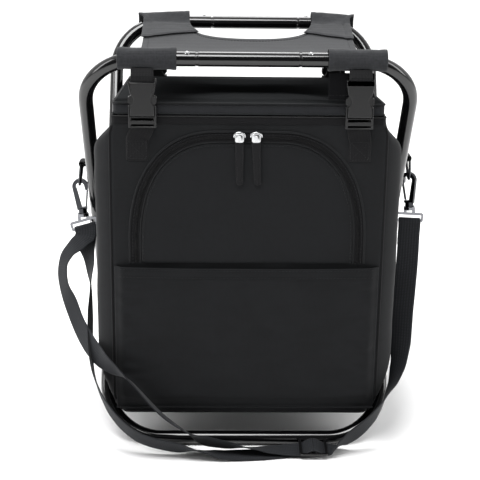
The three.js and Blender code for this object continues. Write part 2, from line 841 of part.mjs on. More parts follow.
function slipPocket() {
  const half = POCKET.slipHalfWidth;
  const back = BAG.front - CLEAR;
  const front = back - POCKET.slipDepth;
  const outline = roundedOutline(-half, half, POCKET.slipFoot, POCKET.slipTop, BAG.corner);
  const slab = plate(outline, front, back, 4);
  const inner = half - POCKET.slipRim;
  const mouth = box(-inner, inner, front + POCKET.slipCloth, back + OVERRUN,
    POCKET.slipFoot + POCKET.slipRim, POCKET.slipTop + OVERRUN);
  return cut(slab, mouth);
}

// A zip slider: a waisted body on the coil with a bridge over it for the pull.
function zipSlider(x) {
  const half = POCKET.slider / 2;
  const low = pocketTop - POCKET.tape / 2 - POCKET.sliderTall / 2;
  const high = low + POCKET.sliderTall;
  const back = BAG.front - CLEAR - POCKET.tapeThick - CLEAR;
  const outline = roundedOutline(x - half, x + half, low, high, half / 2);
  const body = plate(outline, back - POCKET.sliderThick / 2, back, 3);
  const rise = back - POCKET.sliderThick;
  const bridge = box(x - half / 3, x + half / 3, rise, back - POCKET.sliderThick / 4,
    low + half / 3, high - half / 3);
  return fuse(body, bridge);
}

function zipPull(x, turnShare) {
  const top = pocketTop - POCKET.tape / 2 - POCKET.sliderTall / 2 - CLEAR;
  const foot = top - POCKET.pullLong;
  const back = BAG.front - CLEAR - POCKET.door - CLEAR;
  const shape = new THREE.Shape();
  const halfTop = POCKET.pull / 2;
  const halfFoot = POCKET.pullTip / 2;
  shape.moveTo(-halfTop, 0);
  shape.lineTo(halfTop, 0);
  shape.lineTo(halfFoot, foot - top + halfFoot);
  shape.absarc(0, foot - top + halfFoot, halfFoot, 0, -Math.PI, true);
  const pull = plate(shape, back - POCKET.pullThick, back);
  return pull.rotateY(turnShare * Math.PI).translate(x, 0, top);
}

function addPockets() {
  addPiece('pocket_zip', pocketZip(), 'zip');
  addPiece('pocket_door', pocketDoor(), 'bag');
  addPiece('slip_pocket', slipPocket(), 'bag');
  addPiece('pocket_slider_left', zipSlider(POCKET.sliderLeftX), 'chrome');
  addPiece('pocket_slider_right', zipSlider(POCKET.sliderRightX), 'chrome');
  addPiece('pocket_pull_left', zipPull(POCKET.sliderLeftX, 0.005), 'webbing');
  addPiece('pocket_pull_right', zipPull(POCKET.sliderRightX, 0.015), 'webbing');
}

// Hangers. A buckle is drawn round its own middle: x across, z up from its foot, y through it.

function socketOutline() {
  const b = BUCKLE;
  const shape = new THREE.Shape();
  const middle = (b.waistFoot + b.waistTop) / 2;
  const halfRun = (b.waistTop - b.waistFoot) / 2;
  const dip = b.bodyHalf - b.waistHalf;
  const radius = (halfRun ** 2 + dip ** 2) / (2 * dip);
  const sweep = Math.asin(halfRun / radius);
  shape.moveTo(-b.bodyHalf, b.bodyFoot);
  shape.lineTo(b.bodyHalf, b.bodyFoot);
  shape.lineTo(b.bodyHalf, b.waistFoot);
  shape.absarc(b.waistHalf + radius, middle, radius, Math.PI + sweep, Math.PI - sweep, true);
  shape.lineTo(b.halfWidth, b.bodyTop);
  shape.lineTo(b.halfWidth, b.loopTop);
  shape.lineTo(-b.halfWidth, b.loopTop);
  shape.lineTo(-b.halfWidth, b.bodyTop);
  shape.lineTo(-b.bodyHalf, b.waistTop);
  shape.absarc(-b.waistHalf - radius, middle, radius, sweep, -sweep, true);
  return shape;
}

function buckleSocket() {
  const b = BUCKLE;
  const half = b.thick / 2;
  const body = plate(socketOutline(), -half, half, 4);
  const room = half - b.skin;
  const cavity = box(-b.bodyHalf - OVERRUN, b.bodyHalf + OVERRUN, -room, room,
    b.bodyFoot - OVERRUN, b.waistTop + b.skin);
  const slot = box(-b.loopSlot, b.loopSlot, -half - OVERRUN, half + OVERRUN,
    b.bodyTop - CLEAR, b.loopTop - b.loopBar);
  const bar = b.loopBarThick / 2;
  const relief = [[-half - OVERRUN, -bar], [bar, half + OVERRUN]].map(([y0, y1]) => (
    box(-b.loopSlot, b.loopSlot, y0, y1, b.bodyTop - CLEAR, b.loopTop + OVERRUN)));
  return cut(body, cavity, slot, ...relief);
}

function bucklePlug() {
  const b = BUCKLE;
  const half = b.plugThick / 2;
  const base = box(-b.halfWidth, b.halfWidth, -half, half, 0, b.base);
  const rails = [-1, 1].map((side) => {
    const inner = b.halfWidth - b.rail;
    return side < 0 ? box(-b.halfWidth, -inner, -half, half, 0, b.railTop)
      : box(inner, b.halfWidth, -half, half, 0, b.railTop);
  });
  const guide = box(-b.prongInner / 2 + CLEAR, b.prongInner / 2 - CLEAR, -b.skin / 2, b.skin / 2,
    b.base - b.skin, b.padFoot);
  const opening = HANGER.web / 2;
  const lower = box(-opening, opening, -half - OVERRUN, half + OVERRUN, b.sill, b.barFoot);
  const upper = box(-opening, opening, -half - OVERRUN, half + OVERRUN, b.barTop, b.slotTop);
  return cut(fuse(base, ...rails, guide), lower, upper);
}

// A sprung prong: a slim arm with a thumb pad that fills the window in the socket's waist.
function buckleProng(side) {
  const b = BUCKLE;
  const room = b.thick / 2 - b.skin - CLEAR;
  const shape = new THREE.Shape();
  const outer = b.prongInner + b.prong;
  shape.moveTo(b.prongInner, b.base + CLEAR);
  shape.lineTo(outer, b.base + CLEAR);
  shape.lineTo(outer + b.prong, b.waistFoot + CLEAR);
  const waist = (b.waistFoot + b.waistTop) / 2;
  shape.quadraticCurveTo(b.halfWidth + b.prong / 2, b.waistFoot + CLEAR, b.halfWidth, waist);
  shape.quadraticCurveTo(b.halfWidth, b.prongTop, outer + b.prong, b.prongTop);
  shape.lineTo(outer, b.prongTop);
  shape.lineTo(b.prongInner, b.waistFoot);
  const pad = plate(roundedOutline(b.padInner, b.padOuter, b.padFoot, b.padTop, b.padRound),
    -b.padThick / 2, b.padThick / 2, 2);
  const prong = fuse(plate(shape, -room, room, 3), pad);
  return side > 0 ? prong : prong.rotateZ(Math.PI);
}

// The rear plugs are drawn as the single mouldings that they are, prongs included.
function rearPlug() {
  const b = BUCKLE;
  const room = b.thick / 2 - b.skin - CLEAR;
  const roots = [-1, 1].map((side) => {
    const inner = side < 0 ? -b.prongInner - b.prong : b.prongInner;
    return box(inner, inner + b.prong, -room, room, b.base - b.skin, b.base + b.skin);
  });
  return fuse(bucklePlug(), ...roots, buckleProng(-1), buckleProng(1));
}

// Flat webbing along a route of points [y, z], one width across, with mitred corners.
function webbing(route, x, width) {
  const half = HANGER.webThick / 2;
  const way = (i) => {
    const [a, b] = [route[Math.max(i, 0)], route[Math.min(i + 1, route.length - 1)]];
    return new THREE.Vector2(b[0] - a[0], b[1] - a[1]).normalize();
  };
  const at = (u, v, side) => {
    const i = Math.round(u * (route.length - 1));
    const before = way(Math.max(i - 1, 0));
    const after = way(Math.min(i, route.length - 2));
    const middle = before.clone().add(after).normalize();
    const out = (side === 0 ? half : -half) / Math.max(middle.dot(after), MITRE_SHARE);
    const [y, z] = route[i];
    return new THREE.Vector3(x(z) + width * (v - 0.5), y - middle.y * out, z + middle.x * out);
  };
  return sheet(at, route.length - 1, 1);
}

const MITRE_SHARE = 0.5;

const HANGERS = [
  { name: 'front_left', x: HANGER.leftX, patchX: HANGER.patchLeftX, front: true },
  { name: 'front_right', x: HANGER.rightX, patchX: HANGER.patchRightX, front: true },
  { name: 'rear_left', x: HANGER.leftX, patchX: HANGER.patchLeftX, front: false },
  { name: 'rear_right', x: HANGER.rightX, patchX: HANGER.patchRightX, front: false },
];

function hangerPlace({ front }) {
  const foot = hangerFoot - (front ? 0 : HANGER.rearDrop);
  const y = front ? BAG.front - HANGER.standOff : BAG.rear + HANGER.standOff;
  return { foot, y, out: front ? -1 : 1 };
}

// The upper webbing hangs from the sleeve in two layers and turns round the socket's loop bar.
function upperWebbing(hanger) {
  const { foot, y } = hangerPlace(hanger);
  const rail = hanger.front ? -HANGER.frontTopOut : HANGER.rearTopOut;
  const top = hanger.front ? FRAME.height - HANGER.frontTopDrop : FRAME.height - HANGER.rearTopDrop;
  const gap = HANGER.webThick / 2 + CLEAR / 2;
  const side = (sign) => [
    [rail + sign * gap, top],
    [y + sign * HANGER.wrap, foot + HANGER.wrapTop],
    [y + sign * HANGER.wrap, foot + HANGER.wrapFoot + HANGER.webThick / 2],
    [y + sign * (HANGER.wrap - HANGER.webThick / 2), foot + HANGER.wrapFoot],
  ];
  return webbing([...side(-1), ...side(1).reverse()], () => hanger.x, HANGER.web);
}

// The lower webbing is sewn flat on the bag and comes out and up behind the plug.
function lowerWebbing(hanger) {
  const { foot, y, out } = hangerPlace(hanger);
  const drop = hangerFoot - foot;
  const face = (hanger.front ? BAG.front : BAG.rear) + out * (CLEAR + HANGER.webThick / 2);
  const patchTop = patchTopZ - drop;
  const patchFoot = patchTopZ - HANGER.patchLong - drop;
  const behind = y - out * HANGER.plugOut;
  const share = (z) => Math.min(Math.max((foot - z) / (foot - patchTop), 0), 1);
  const x = (z) => hanger.x + (hanger.patchX - hanger.x) * share(z);
  const route = [
    [behind, foot + HANGER.plugTop], [behind, foot + HANGER.plugFoot], [face, patchTop], [face, patchFoot],
  ];
  return webbing(route, x, HANGER.web);
}

function addHangers() {
  for (const hanger of HANGERS) {
    const { foot, y } = hangerPlace(hanger);
    const buckle = new THREE.Group();
    buckle.position.set(hanger.x, y, foot);
    stool.add(buckle);
    addPiece(`${hanger.name}_socket`, buckleSocket(), 'buckle', buckle);
    if (hanger.front) {
      addPiece(`${hanger.name}_plug`, bucklePlug(), 'buckle', buckle);
      addPiece(`${hanger.name}_prong_l`, buckleProng(-1), 'buckle', buckle);
      addPiece(`${hanger.name}_prong_r`, buckleProng(1), 'buckle', buckle);
    } else {
      addPiece(`${hanger.name}_plug`, rearPlug(), 'buckle', buckle);
    }
    addPiece(`${hanger.name}_upper_webbing`, upperWebbing(hanger), 'webbing');
    addPiece(`${hanger.name}_lower_webbing`, lowerWebbing(hanger), 'webbing');
  }
}

// Shoulder strap hardware. Each hangs from a tab that comes out between the legs.

function ringTab(sign, z) {
  const half = HOOK.tab / 2;
  const eye = HOOK.ringWire / 2 + CLEAR;
  const thick = HOOK.tabThick;
  const shape = new THREE.Shape();
  const inner = BAG.halfWidth + CLEAR;
  const neck = HOOK.tabOut - HOOK.tabNeck;
  shape.moveTo(inner, z - thick);
  shape.lineTo(neck, z - thick);
  shape.lineTo(HOOK.tabOut, z - eye - thick);
  shape.absarc(HOOK.tabOut, z, eye + thick, -Math.PI / 2, Math.PI / 2);
  shape.lineTo(neck, z + thick);
  shape.lineTo(inner, z + thick);
  const hole = new THREE.Path();
  hole.absarc(HOOK.tabOut, z, eye, 0, 2 * Math.PI);
  shape.holes.push(hole);
  const tab = plate(shape, HOOK.y - half, HOOK.y + half, 5);
  return sign > 0 ? tab : facingOut(welded(tab.scale(-1, 1, 1)));
}

// A D-ring that hangs by its straight bar, drawn round that bar: y along it, z down.
function dRing() {
  const half = HOOK.ring / 2 + HOOK.ringWire / 2;
  const wire = HOOK.ringWire / 2;
  const points = [];
  const tangents = [];
  const steps = 8;
  for (let step = 0; step <= steps; step += 1) {
    const angle = Math.PI * (step / steps);
    points.push(new THREE.Vector3(0, half * Math.cos(angle), -Math.sin(angle) * HOOK.ringTall));
    const way = new THREE.Vector3(0, -half * Math.sin(angle), -Math.cos(angle) * HOOK.ringTall);
    tangents.push(way.normalize());
  }
  const section = new THREE.Shape();
  section.absarc(0, 0, wire, 0, 2 * Math.PI);
  const bow = new THREE.ExtrudeGeometry(section, {
    steps, extrudePath: new StationPath(points, tangents), bevelEnabled: false, curveSegments: 4,
  });
  const bar = barX(wire, -half - wire, half + wire, 8).rotateZ(Math.PI / 2);
  return fuse(bar, bow);
}

// The cast hook: a bow that hangs on the ring, a slanting spine, a base and a barrel.
// It is drawn round the top of its throat: x across with the spine at -x, z up.
function hookBody() {
  const h = HOOK;
  const inner = h.outer - h.wire;
  const shape = new THREE.Shape();
  shape.moveTo(-h.outer, -h.outer + h.wire);
  shape.absarc(0, -inner, h.outer, Math.PI, 0, true);
  shape.lineTo(h.outer - h.gateInset, -h.nose);
  shape.lineTo(inner + h.gateInset, -h.nose);
  shape.lineTo(inner, -inner);
  shape.absarc(0, -inner, inner, 0, Math.PI, false);
  shape.lineTo(h.spine - h.baseHalf, h.baseTall - h.baseFoot);
  shape.lineTo(h.baseHalf, h.baseTall - h.baseFoot);
  shape.lineTo(h.baseHalf, -h.baseFoot);
  shape.lineTo(-h.baseHalf, -h.baseFoot);
  const body = plate(shape, -h.thick / 2, h.thick / 2, 10);
  const tall = h.barrelFoot - h.baseFoot + h.baseTall / 2;
  const barrel = new THREE.CylinderGeometry(h.barrel / 2, h.barrel / 2, tall, SIDES);
  barrel.rotateX(Math.PI / 2).translate(0, 0, -h.barrelFoot + tall / 2);
  return fuse(body, barrel);
}

// The sprung gate closes the throat from the base up to the tip of the bow.
function hookGate() {
  const h = HOOK;
  const outer = h.outer - h.gateInset;
  const shape = new THREE.Shape();
  const foot = h.baseTall - h.baseFoot + 2 * CLEAR;
  shape.moveTo(h.baseHalf - h.gateWire, foot);
  shape.lineTo(h.baseHalf, foot);
  shape.lineTo(outer, -h.nose - 2 * CLEAR);
  shape.lineTo(outer - h.gateWire, -h.nose - 2 * CLEAR);
  return plate(shape, -h.thick / 3, h.thick / 3);
}

// The swivel loop: a collar under the barrel, two yoke legs and a flat loop for the webbing.
function swivelLoop(tilt) {
  const h = HOOK;
  const top = -h.barrelFoot - CLEAR;
  const collar = new THREE.CylinderGeometry(h.collar / 2, h.collar / 2, h.collarTall, SIDES);
  collar.rotateX(Math.PI / 2).translate(0, 0, top - h.collarTall / 2);
  const legs = [-1, 1].map((side) => {
    const x = side * (h.yokeHalf - h.yokeLeg / 2);
    return box(x - h.yokeLeg / 2, x + h.yokeLeg / 2, -h.loopThick / 2, h.loopThick / 2,
      -h.yokeFoot, top - h.collarTall / 2);
  });
  const half = h.loop / 2;
  const tall = h.loopTall / 2;
  const outline = roundedOutline(-half, half, -tall, tall, h.loopRound);
  const flat = plate(outline, -h.loopThick / 2, h.loopThick / 2, 3);
  const slot = box(-half + h.loopEnd, half - h.loopEnd, -h.loopThick - OVERRUN, h.loopThick + OVERRUN,
    -tall + h.loopLower, tall - h.loopUpper);
  const ring = cut(flat, slot).rotateY(THREE.MathUtils.degToRad(tilt)).translate(0, 0, -h.loopTop - tall);
  return fuse(ring, collar, ...legs);
}

function addHooks() {
  const radians = THREE.MathUtils.degToRad;
  for (const { name, sign, tabRise, ringLean, drop, lean, turn, tilt } of HOOK_SIDES) {
    const tabZ = pivotZ + tabRise;
    addPiece(`${name}_ring_tab`, ringTab(sign, tabZ), 'webbing');
    const ring = new THREE.Group();
    ring.position.set(sign * HOOK.tabOut, HOOK.y, tabZ);
    ring.rotation.y = -sign * radians(ringLean);
    stool.add(ring);
    addPiece(`${name}_d_ring`, dRing(), 'nickel', ring);
    const hook = new THREE.Group();
    const reach = HOOK.ringTall;
    hook.position.set(sign * (HOOK.tabOut + reach * Math.sin(radians(ringLean))), HOOK.y,
      tabZ - reach * Math.cos(radians(ringLean)) + HOOK.ringWire / 2 + drop);
    hook.rotation.y = radians(lean);
    stool.add(hook);
    const turned = new THREE.Group();
    turned.rotation.z = radians(turn);
    hook.add(turned);
    addPiece(`${name}_hook`, hookBody(), 'nickel', turned);
    addPiece(`${name}_gate`, hookGate(), 'nickel', turned);
    addPiece(`${name}_swivel_loop`, swivelLoop(tilt), 'nickel', hook);
  }
}

// Shoulder strap: one length of webbing. Each place along it comes with the way its width points.
// It starts under the slider, goes up behind to the left loop, comes down in front to the slider,
// passes over the slider's bar and goes up to the right loop, where its end is turned down behind.

const STRAP_ROUTE = [
  [[71, -161, 1.6], [0, -1, 0]], [[49, -161, 1.6], [0, -1, 0]],
  [[16, -167, 1.6], [0, -1, 0]], [[-8, -169, 1.6], [0, -1, 0]],
  [[-26, -170.5, 2.8], [0, -1, 0.08]], [[-48, -172, 7.6], [0, -0.9, 0.4]],
  [[-75, -174, 13], [0, -0.6, 0.75]], [[-109, -173, 22], [0, -0.6, 0.8]],
  [[-128, -170, 34], [0.1, -0.65, 0.75]], [[-144, -163, 50], [0.1, -0.7, 0.7]],
  [[-154, -152, 63], [0, -0.7, 0.7]], [[-164, -134, 82], [-0.1, -0.65, 0.75]],
  [[-169, -108, 103], [-0.15, -0.65, 0.75]], [[-171, -80, 125], [-0.15, -0.7, 0.7]],
  [[-172, -56, 148], [0, -0.75, 0.65]], [[-175, -34, 177], [0.5, -0.7, 0.5]],
  [[-180, -20.4, 199], [0.95, -0.15, 0.28]], [[-178.9, -19.4, 207], [1, 0, 0.29]],
  [[-180, -19.4, 211.8], [1, 0, 0.29]], [[-180.6, -20.1, 213.8], [1, 0, 0.29]],
  [[-180.8, -22, 214.7], [1, 0, 0.29]], [[-180.6, -23.9, 213.8], [1, 0, 0.29]],
  [[-180, -24.6, 211.8], [1, 0, 0.29]], [[-179.4, -25.8, 208], [1, 0, 0.29]],
  [[-180.5, -28.2, 203], [1, 0.1, 0.3]], [[-187, -33, 197], [0.9, -0.2, 0.25]],
  [[-199, -38, 186], [0.6, -0.75, 0.1]], [[-204.5, -44, 172], [0.5, -0.75, 0.36]],
  [[-202, -54, 151], [0.5, -0.75, 0.5]], [[-193, -68, 135], [0.5, -0.4, 0.7]],
  [[-184, -84, 119], [0.45, -0.35, 0.8]], [[-173, -106, 109], [0.4, -0.2, 0.9]],
  [[-161, -129, 103], [0.3, -0.2, 0.93]], [[-144, -154, 98], [0.2, -0.6, 0.75]],
  [[-123, -162.5, 85], [0, -0.9, 0.4]], [[-102, -165, 61], [0, -0.95, 0.3]],
  [[-86, -165, 44], [0, -0.95, 0.3]], [[-64, -167, 28.5], [0, -0.9, 0.4]],
  [[-43, -167, 17.5], [0, -0.6, 0.75]], [[-20, -165, 11.6], [0, -0.7, 0.7]],
  [[5, -164, 7.5], [0, -0.9, 0.4]], [[30, -163, 5], [0, -1, 0.1]],
  [[46, -162.5, 4.6], [0, -1, -0.05]], [[55, -162.5, 5], [0, -1, -0.14]],
  [[60.5, -162.5, 5.2], [0, -1, -0.14]], [[62.7, -162.5, 6], [0, -1, -0.14]],
  [[66, -162.5, 8], [0, -1, -0.14]], [[70.3, -162.5, 10.2], [0, -1, -0.14]],
  [[73.5, -162.5, 10.8], [0, -1, -0.14]], [[76.7, -162.5, 10.2], [0, -1, -0.14]],
  [[81, -162.5, 8], [0, -1, -0.14]], [[84.3, -162.5, 6], [0, -1, -0.14]],
  [[86.7, -162.5, 5.2], [0, -1, -0.14]], [[92, -162.5, 5.4], [0, -1, -0.05]],
  [[98, -163, 7.5], [0, -0.9, 0.3]], [[106, -164, 14], [0, -0.6, 0.75]],
  [[118, -163, 24], [0, -0.45, 0.88]], [[130, -160, 33.5], [0.1, -0.4, 0.9]],
  [[142, -153, 44], [0.1, -0.4, 0.9]], [[151, -142, 54], [0.2, -0.5, 0.8]],
  [[162, -126, 66], [0.4, -0.6, 0.6]], [[170, -108, 84], [0.6, -0.7, 0.3]],
  [[174, -90, 104], [0.8, -0.6, 0]], [[177, -72, 127], [0.9, -0.45, 0]],
  [[181, -54, 149], [0.95, -0.3, 0]], [[185, -37, 179], [1, -0.1, -0.05]],
  [[187, -26.5, 205], [1, 0, -0.05]], [[187.6, -24.6, 217.5], [1, 0, -0.05]],
  [[187.6, -24.6, 221.9], [1, 0, -0.05]], [[187.6, -23.9, 223.9], [1, 0, -0.05]],
  [[187.6, -22, 224.8], [1, 0, -0.05]], [[187.6, -20.1, 223.9], [1, 0, -0.05]],
  [[187.6, -19.4, 221.9], [1, 0, -0.05]], [[187.6, -20.2, 215], [1, 0, -0.05]],
  [[187, -23.6, 205], [1, 0, -0.05]], [[186.3, -28.6, 193], [1, -0.1, -0.05]],
];
const STRAP_STEPS = 2; // for each place in the route

function shoulderStrap() {
  const places = STRAP_ROUTE.map(([place]) => new THREE.Vector3(...place));
  const ways = new THREE.CatmullRomCurve3(STRAP_ROUTE.map(([, way]) => new THREE.Vector3(...way)));
  const curve = new THREE.CatmullRomCurve3(places, false, 'centripetal');
  const at = (u, v, side) => {
    const along = curve.getTangent(u);
    const way = ways.getPoint(u);
    const across = way.addScaledVector(along, -way.dot(along)).normalize();
    const out = new THREE.Vector3().crossVectors(along, across);
    const place = curve.getPoint(u).addScaledVector(across, STRAP.width * (v - 0.5));
    return place.addScaledVector(out, STRAP.thick * (side - 0.5));
  };
  return sheet(at, (places.length - 1) * STRAP_STEPS, 1);
}

// The slider lies on its back with a bar between two slots for the webbing.
function strapSlider() {
  const long = STRAP.sliderLong / 2;
  const wide = STRAP.sliderWide / 2;
  const thick = STRAP.sliderThick / 2;
  const outline = roundedOutline(-long, long, -wide, wide, STRAP.sliderRound);
  const frame = plate(outline, -thick, thick, 3);
  const bar = STRAP.sliderBar / 2;
  const slots = [[-long + STRAP.sliderEnd, -bar], [bar, long - STRAP.sliderEnd]].map(([x0, x1]) => (
    box(x0, x1, -thick - OVERRUN, thick + OVERRUN, -wide + STRAP.sliderRail, wide - STRAP.sliderRail)));
  return cut(frame, ...slots).rotateX(Math.PI / 2);
}

function addStrap() {
  addPiece('shoulder_strap', shoulderStrap(), 'webbing');
  const lying = new THREE.Group();
  lying.position.set(STRAP.sliderX, STRAP.sliderY, STRAP.sliderZ);
  lying.rotation.x = THREE.MathUtils.degToRad(STRAP.sliderTilt);
  stool.add(lying);
  addPiece('strap_slider', strapSlider(), 'buckle', lying);
}

addFrame();
addSeat();
addBag();
addPockets();
addHangers();
addHooks();
addStrap();

export default part;
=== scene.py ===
"""Dresses the folding cooler stool: tube, cloth, webbing, zips and fittings, with floor, light and camera.

Sizes are in millimetres off the middle of the frame, x to the right, y to the back and z up.
The function spot turns them into the model's own metres.
"""

import json
import logging
import math
from collections.abc import Callable, Iterable, Mapping, Sequence
from dataclasses import dataclass
from enum import Enum

import bmesh
import bpy
from bmesh.types import BMesh, BMVert
from bpy.types import Material, Node, NodeSocket, NodeTree, Object
from mathutils import Matrix, Vector, noise


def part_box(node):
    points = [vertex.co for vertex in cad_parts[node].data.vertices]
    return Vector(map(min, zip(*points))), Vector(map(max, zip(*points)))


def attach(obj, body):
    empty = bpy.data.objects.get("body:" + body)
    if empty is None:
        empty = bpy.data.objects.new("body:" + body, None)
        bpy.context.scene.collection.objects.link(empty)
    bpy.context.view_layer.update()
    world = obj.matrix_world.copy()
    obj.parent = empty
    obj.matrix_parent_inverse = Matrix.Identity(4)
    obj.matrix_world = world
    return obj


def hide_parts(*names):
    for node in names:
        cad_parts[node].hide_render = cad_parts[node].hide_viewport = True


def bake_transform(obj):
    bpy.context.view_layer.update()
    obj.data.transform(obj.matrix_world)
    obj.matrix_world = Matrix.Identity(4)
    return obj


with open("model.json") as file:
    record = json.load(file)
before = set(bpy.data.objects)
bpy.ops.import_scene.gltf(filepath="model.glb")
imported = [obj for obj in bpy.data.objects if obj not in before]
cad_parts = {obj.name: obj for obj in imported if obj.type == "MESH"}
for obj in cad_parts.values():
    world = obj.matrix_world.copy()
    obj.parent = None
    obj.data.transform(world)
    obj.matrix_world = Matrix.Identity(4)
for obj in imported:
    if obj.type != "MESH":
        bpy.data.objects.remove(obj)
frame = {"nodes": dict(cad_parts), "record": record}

log = logging.getLogger("cooler_stool")

MM = 0.001
ASIDE = 4.0  # the middle of the frame, beside the middle of the whole footprint
BACK = 18.0  # and behind it

ACROSS = Vector((1, 0, 0))
TO_FRONT = Vector((0, -1, 0))
UP = Vector((0, 0, 1))

Place = tuple[float, float, float]
Outline = list[tuple[float, float]]


def spot(x: float, y: float, z: float) -> Vector:
    """The place in the model, in metres.

    Args:
        x: Millimetres to the right of the middle of the frame.
        y: Millimetres behind it.
        z: Millimetres above the floor.

    Returns:
        The place as the CAD has it.
    """
    return Vector((x + ASIDE, y + BACK, z)) * MM


def groove(distance: float, width: float) -> float:
    """A soft dip across a seam: one on the seam, nought a few widths away."""
    return math.exp(-((distance / width) ** 2))


def eased(share: float) -> float:
    """A share held between nought and one, with soft ends."""
    held = min(max(share, 0.0), 1.0)
    return held * held * (3.0 - 2.0 * held)


def ripple(x: float, y: float, z: float, size: float, seed: float = 0.0) -> float:
    """Smooth noise between about minus one and one, over a size in millimetres."""
    return noise.noise(Vector((x / size + seed, y / size - seed, z / size + seed * 0.5)))


# Finishes.


def linear(code: str) -> tuple[float, float, float, float]:
    """An sRGB hex colour as the linear colour that the shaders use."""
    parts = [int(code[i : i + 2], 16) / 255.0 for i in (1, 3, 5)]
    red, green, blue = (p / 12.92 if p <= 0.04045 else ((p + 0.055) / 1.055) ** 2.4 for p in parts)
    return (red, green, blue, 1.0)


def bands(period_mm: float) -> float:
    """The wave texture's scale that gives bands of this width, from one to the next."""
    return math.pi / 10.0 / (period_mm * MM)


def add_node(
    tree: NodeTree,
    kind: str,
    links: Mapping[str | int, NodeSocket] | None = None,
    values: Mapping[str | int, object] | None = None,
    **settings: object,
) -> Node:
    """Adds a node with its settings, its values and its links.

    Args:
        tree: The material's node tree.
        kind: The node's type name.
        links: Input name or number to the socket that feeds it.
        values: Input name or number to its value.
        **settings: The node's own properties.

    Returns:
        The new node.
    """
    node = tree.nodes.new(kind)
    for key, value in settings.items():
        setattr(node, key, value)
    for key, value in (values or {}).items():
        node.inputs[key].default_value = value
    for key, socket in (links or {}).items():
        tree.links.new(socket, node.inputs[key])
    return node


FUZZ_MM = 1.0 / 0.9  # loose fibres on webbing
CLOUD_MM = 1.0 / 0.045  # slow change of tone on a hard surface


class Pattern(Enum):
    """What a pattern is laid out on."""

    SOLID = "Object"  # through the piece, in its own place
    SURFACE = "UV"  # along the cloth, in metres


@dataclass(frozen=True)
class Woven:
    """Polyester cloth woven of spun or textured yarn: matt, with a soft sheen at grazing angles."""

    name: str
    ground: str
    yarn: str
    thread_mm: float
    mottle: float
    mottle_mm: float
    roughness: float
    sheen: float
    bump_mm: float
    gloss: float = 0.14

    def make(self) -> Material:
        """Builds the cloth's nodes."""
        material, tree, shader = new_material(self.name)
        place = add_node(tree, "ShaderNodeTexCoord").outputs[Pattern.SOLID.value]
        total: NodeSocket | None = None
        for direction in ("X", "Y", "Z"):
            wave = add_node(
                tree,
                "ShaderNodeTexWave",
                {"Vector": place},
                {"Scale": bands(self.thread_mm), "Distortion": 0.7, "Detail": 1.0, "Detail Scale": 2.0},
                wave_type="BANDS",
                bands_direction=direction,
            ).outputs["Fac"]
            if total is None:
                total = wave
            else:
                total = add_node(tree, "ShaderNodeMath", {0: total, 1: wave}, operation="ADD").outputs[0]
        weave = add_node(
            tree, "ShaderNodeMapRange", {"Value": total}, {"From Min": 0.5, "From Max": 2.5}
        ).outputs["Result"]
        cloud = add_node(
            tree,
            "ShaderNodeTexNoise",
            {"Vector": place},
            {"Scale": 1.0 / (self.mottle_mm * MM), "Detail": 4.0},
        ).outputs["Fac"]
        shade = add_node(
            tree,
            "ShaderNodeMix",
            {2: weave, 3: cloud},
            {0: self.mottle},
            data_type="FLOAT",
        ).outputs[0]
        colour = add_node(
            tree,
            "ShaderNodeMix",
            {"Factor": shade},
            {6: linear(self.ground), 7: linear(self.yarn)},
            data_type="RGBA",
        ).outputs[2]
        tree.links.new(colour, shader.inputs["Base Color"])
        rise = add_node(
            tree,
            "ShaderNodeBump",
            {"Height": shade},
            {"Strength": 0.5, "Distance": self.bump_mm * MM},
        ).outputs["Normal"]
        tree.links.new(rise, shader.inputs["Normal"])
        shader.inputs["Roughness"].default_value = self.roughness
        shader.inputs["Sheen Weight"].default_value = self.sheen
        shader.inputs["Sheen Roughness"].default_value = 0.5
        shader.inputs["Specular IOR Level"].default_value = self.gloss
        return material


@dataclass(frozen=True)
class Webbed:
    """Woven webbing: cross ribs of a heavy weft between two smooth edges."""

    name: str
    ground: str
    rib: str
    rib_mm: float
    cord_mm: float
    roughness: float

    def make(self) -> Material:
        """Builds the webbing's nodes on its own length and width."""
        material, tree, shader = new_material(self.name)
        place = add_node(tree, "ShaderNodeTexCoord").outputs[Pattern.SURFACE.value]
        ribs = add_node(
            tree,
            "ShaderNodeTexWave",
            {"Vector": place},
            {"Scale": bands(self.rib_mm), "Distortion": 0.4, "Detail Scale": 3.0},
            bands_direction="Y",
        ).outputs["Fac"]
        cords = add_node(
            tree,
            "ShaderNodeTexWave",
            {"Vector": place},
            {"Scale": bands(self.cord_mm), "Distortion": 0.3},
            bands_direction="X",
        ).outputs["Fac"]
        fuzz = add_node(
            tree, "ShaderNodeTexNoise", {"Vector": place}, {"Scale": 1.0 / (FUZZ_MM * MM), "Detail": 3.0}
        ).outputs["Fac"]
        weave = add_node(tree, "ShaderNodeMath", {0: ribs, 1: cords}, operation="MULTIPLY").outputs[0]
        shade = add_node(tree, "ShaderNodeMix", {2: weave, 3: fuzz}, {0: 0.35}, data_type="FLOAT").outputs[0]
        colour = add_node(
            tree,
            "ShaderNodeMix",
            {"Factor": shade},
            {6: linear(self.ground), 7: linear(self.rib)},
            data_type="RGBA",
        ).outputs[2]
        tree.links.new(colour, shader.inputs["Base Color"])
        rise = add_node(tree, "ShaderNodeBump", {"Height": shade}, {"Strength": 0.6, "Distance": 0.35 * MM})
        tree.links.new(rise.outputs["Normal"], shader.inputs["Normal"])
        shader.inputs["Roughness"].default_value = self.roughness
        shader.inputs["Sheen Weight"].default_value = 0.06
        shader.inputs["Sheen Roughness"].default_value = 0.4
        shader.inputs["Specular IOR Level"].default_value = 0.18
        return material


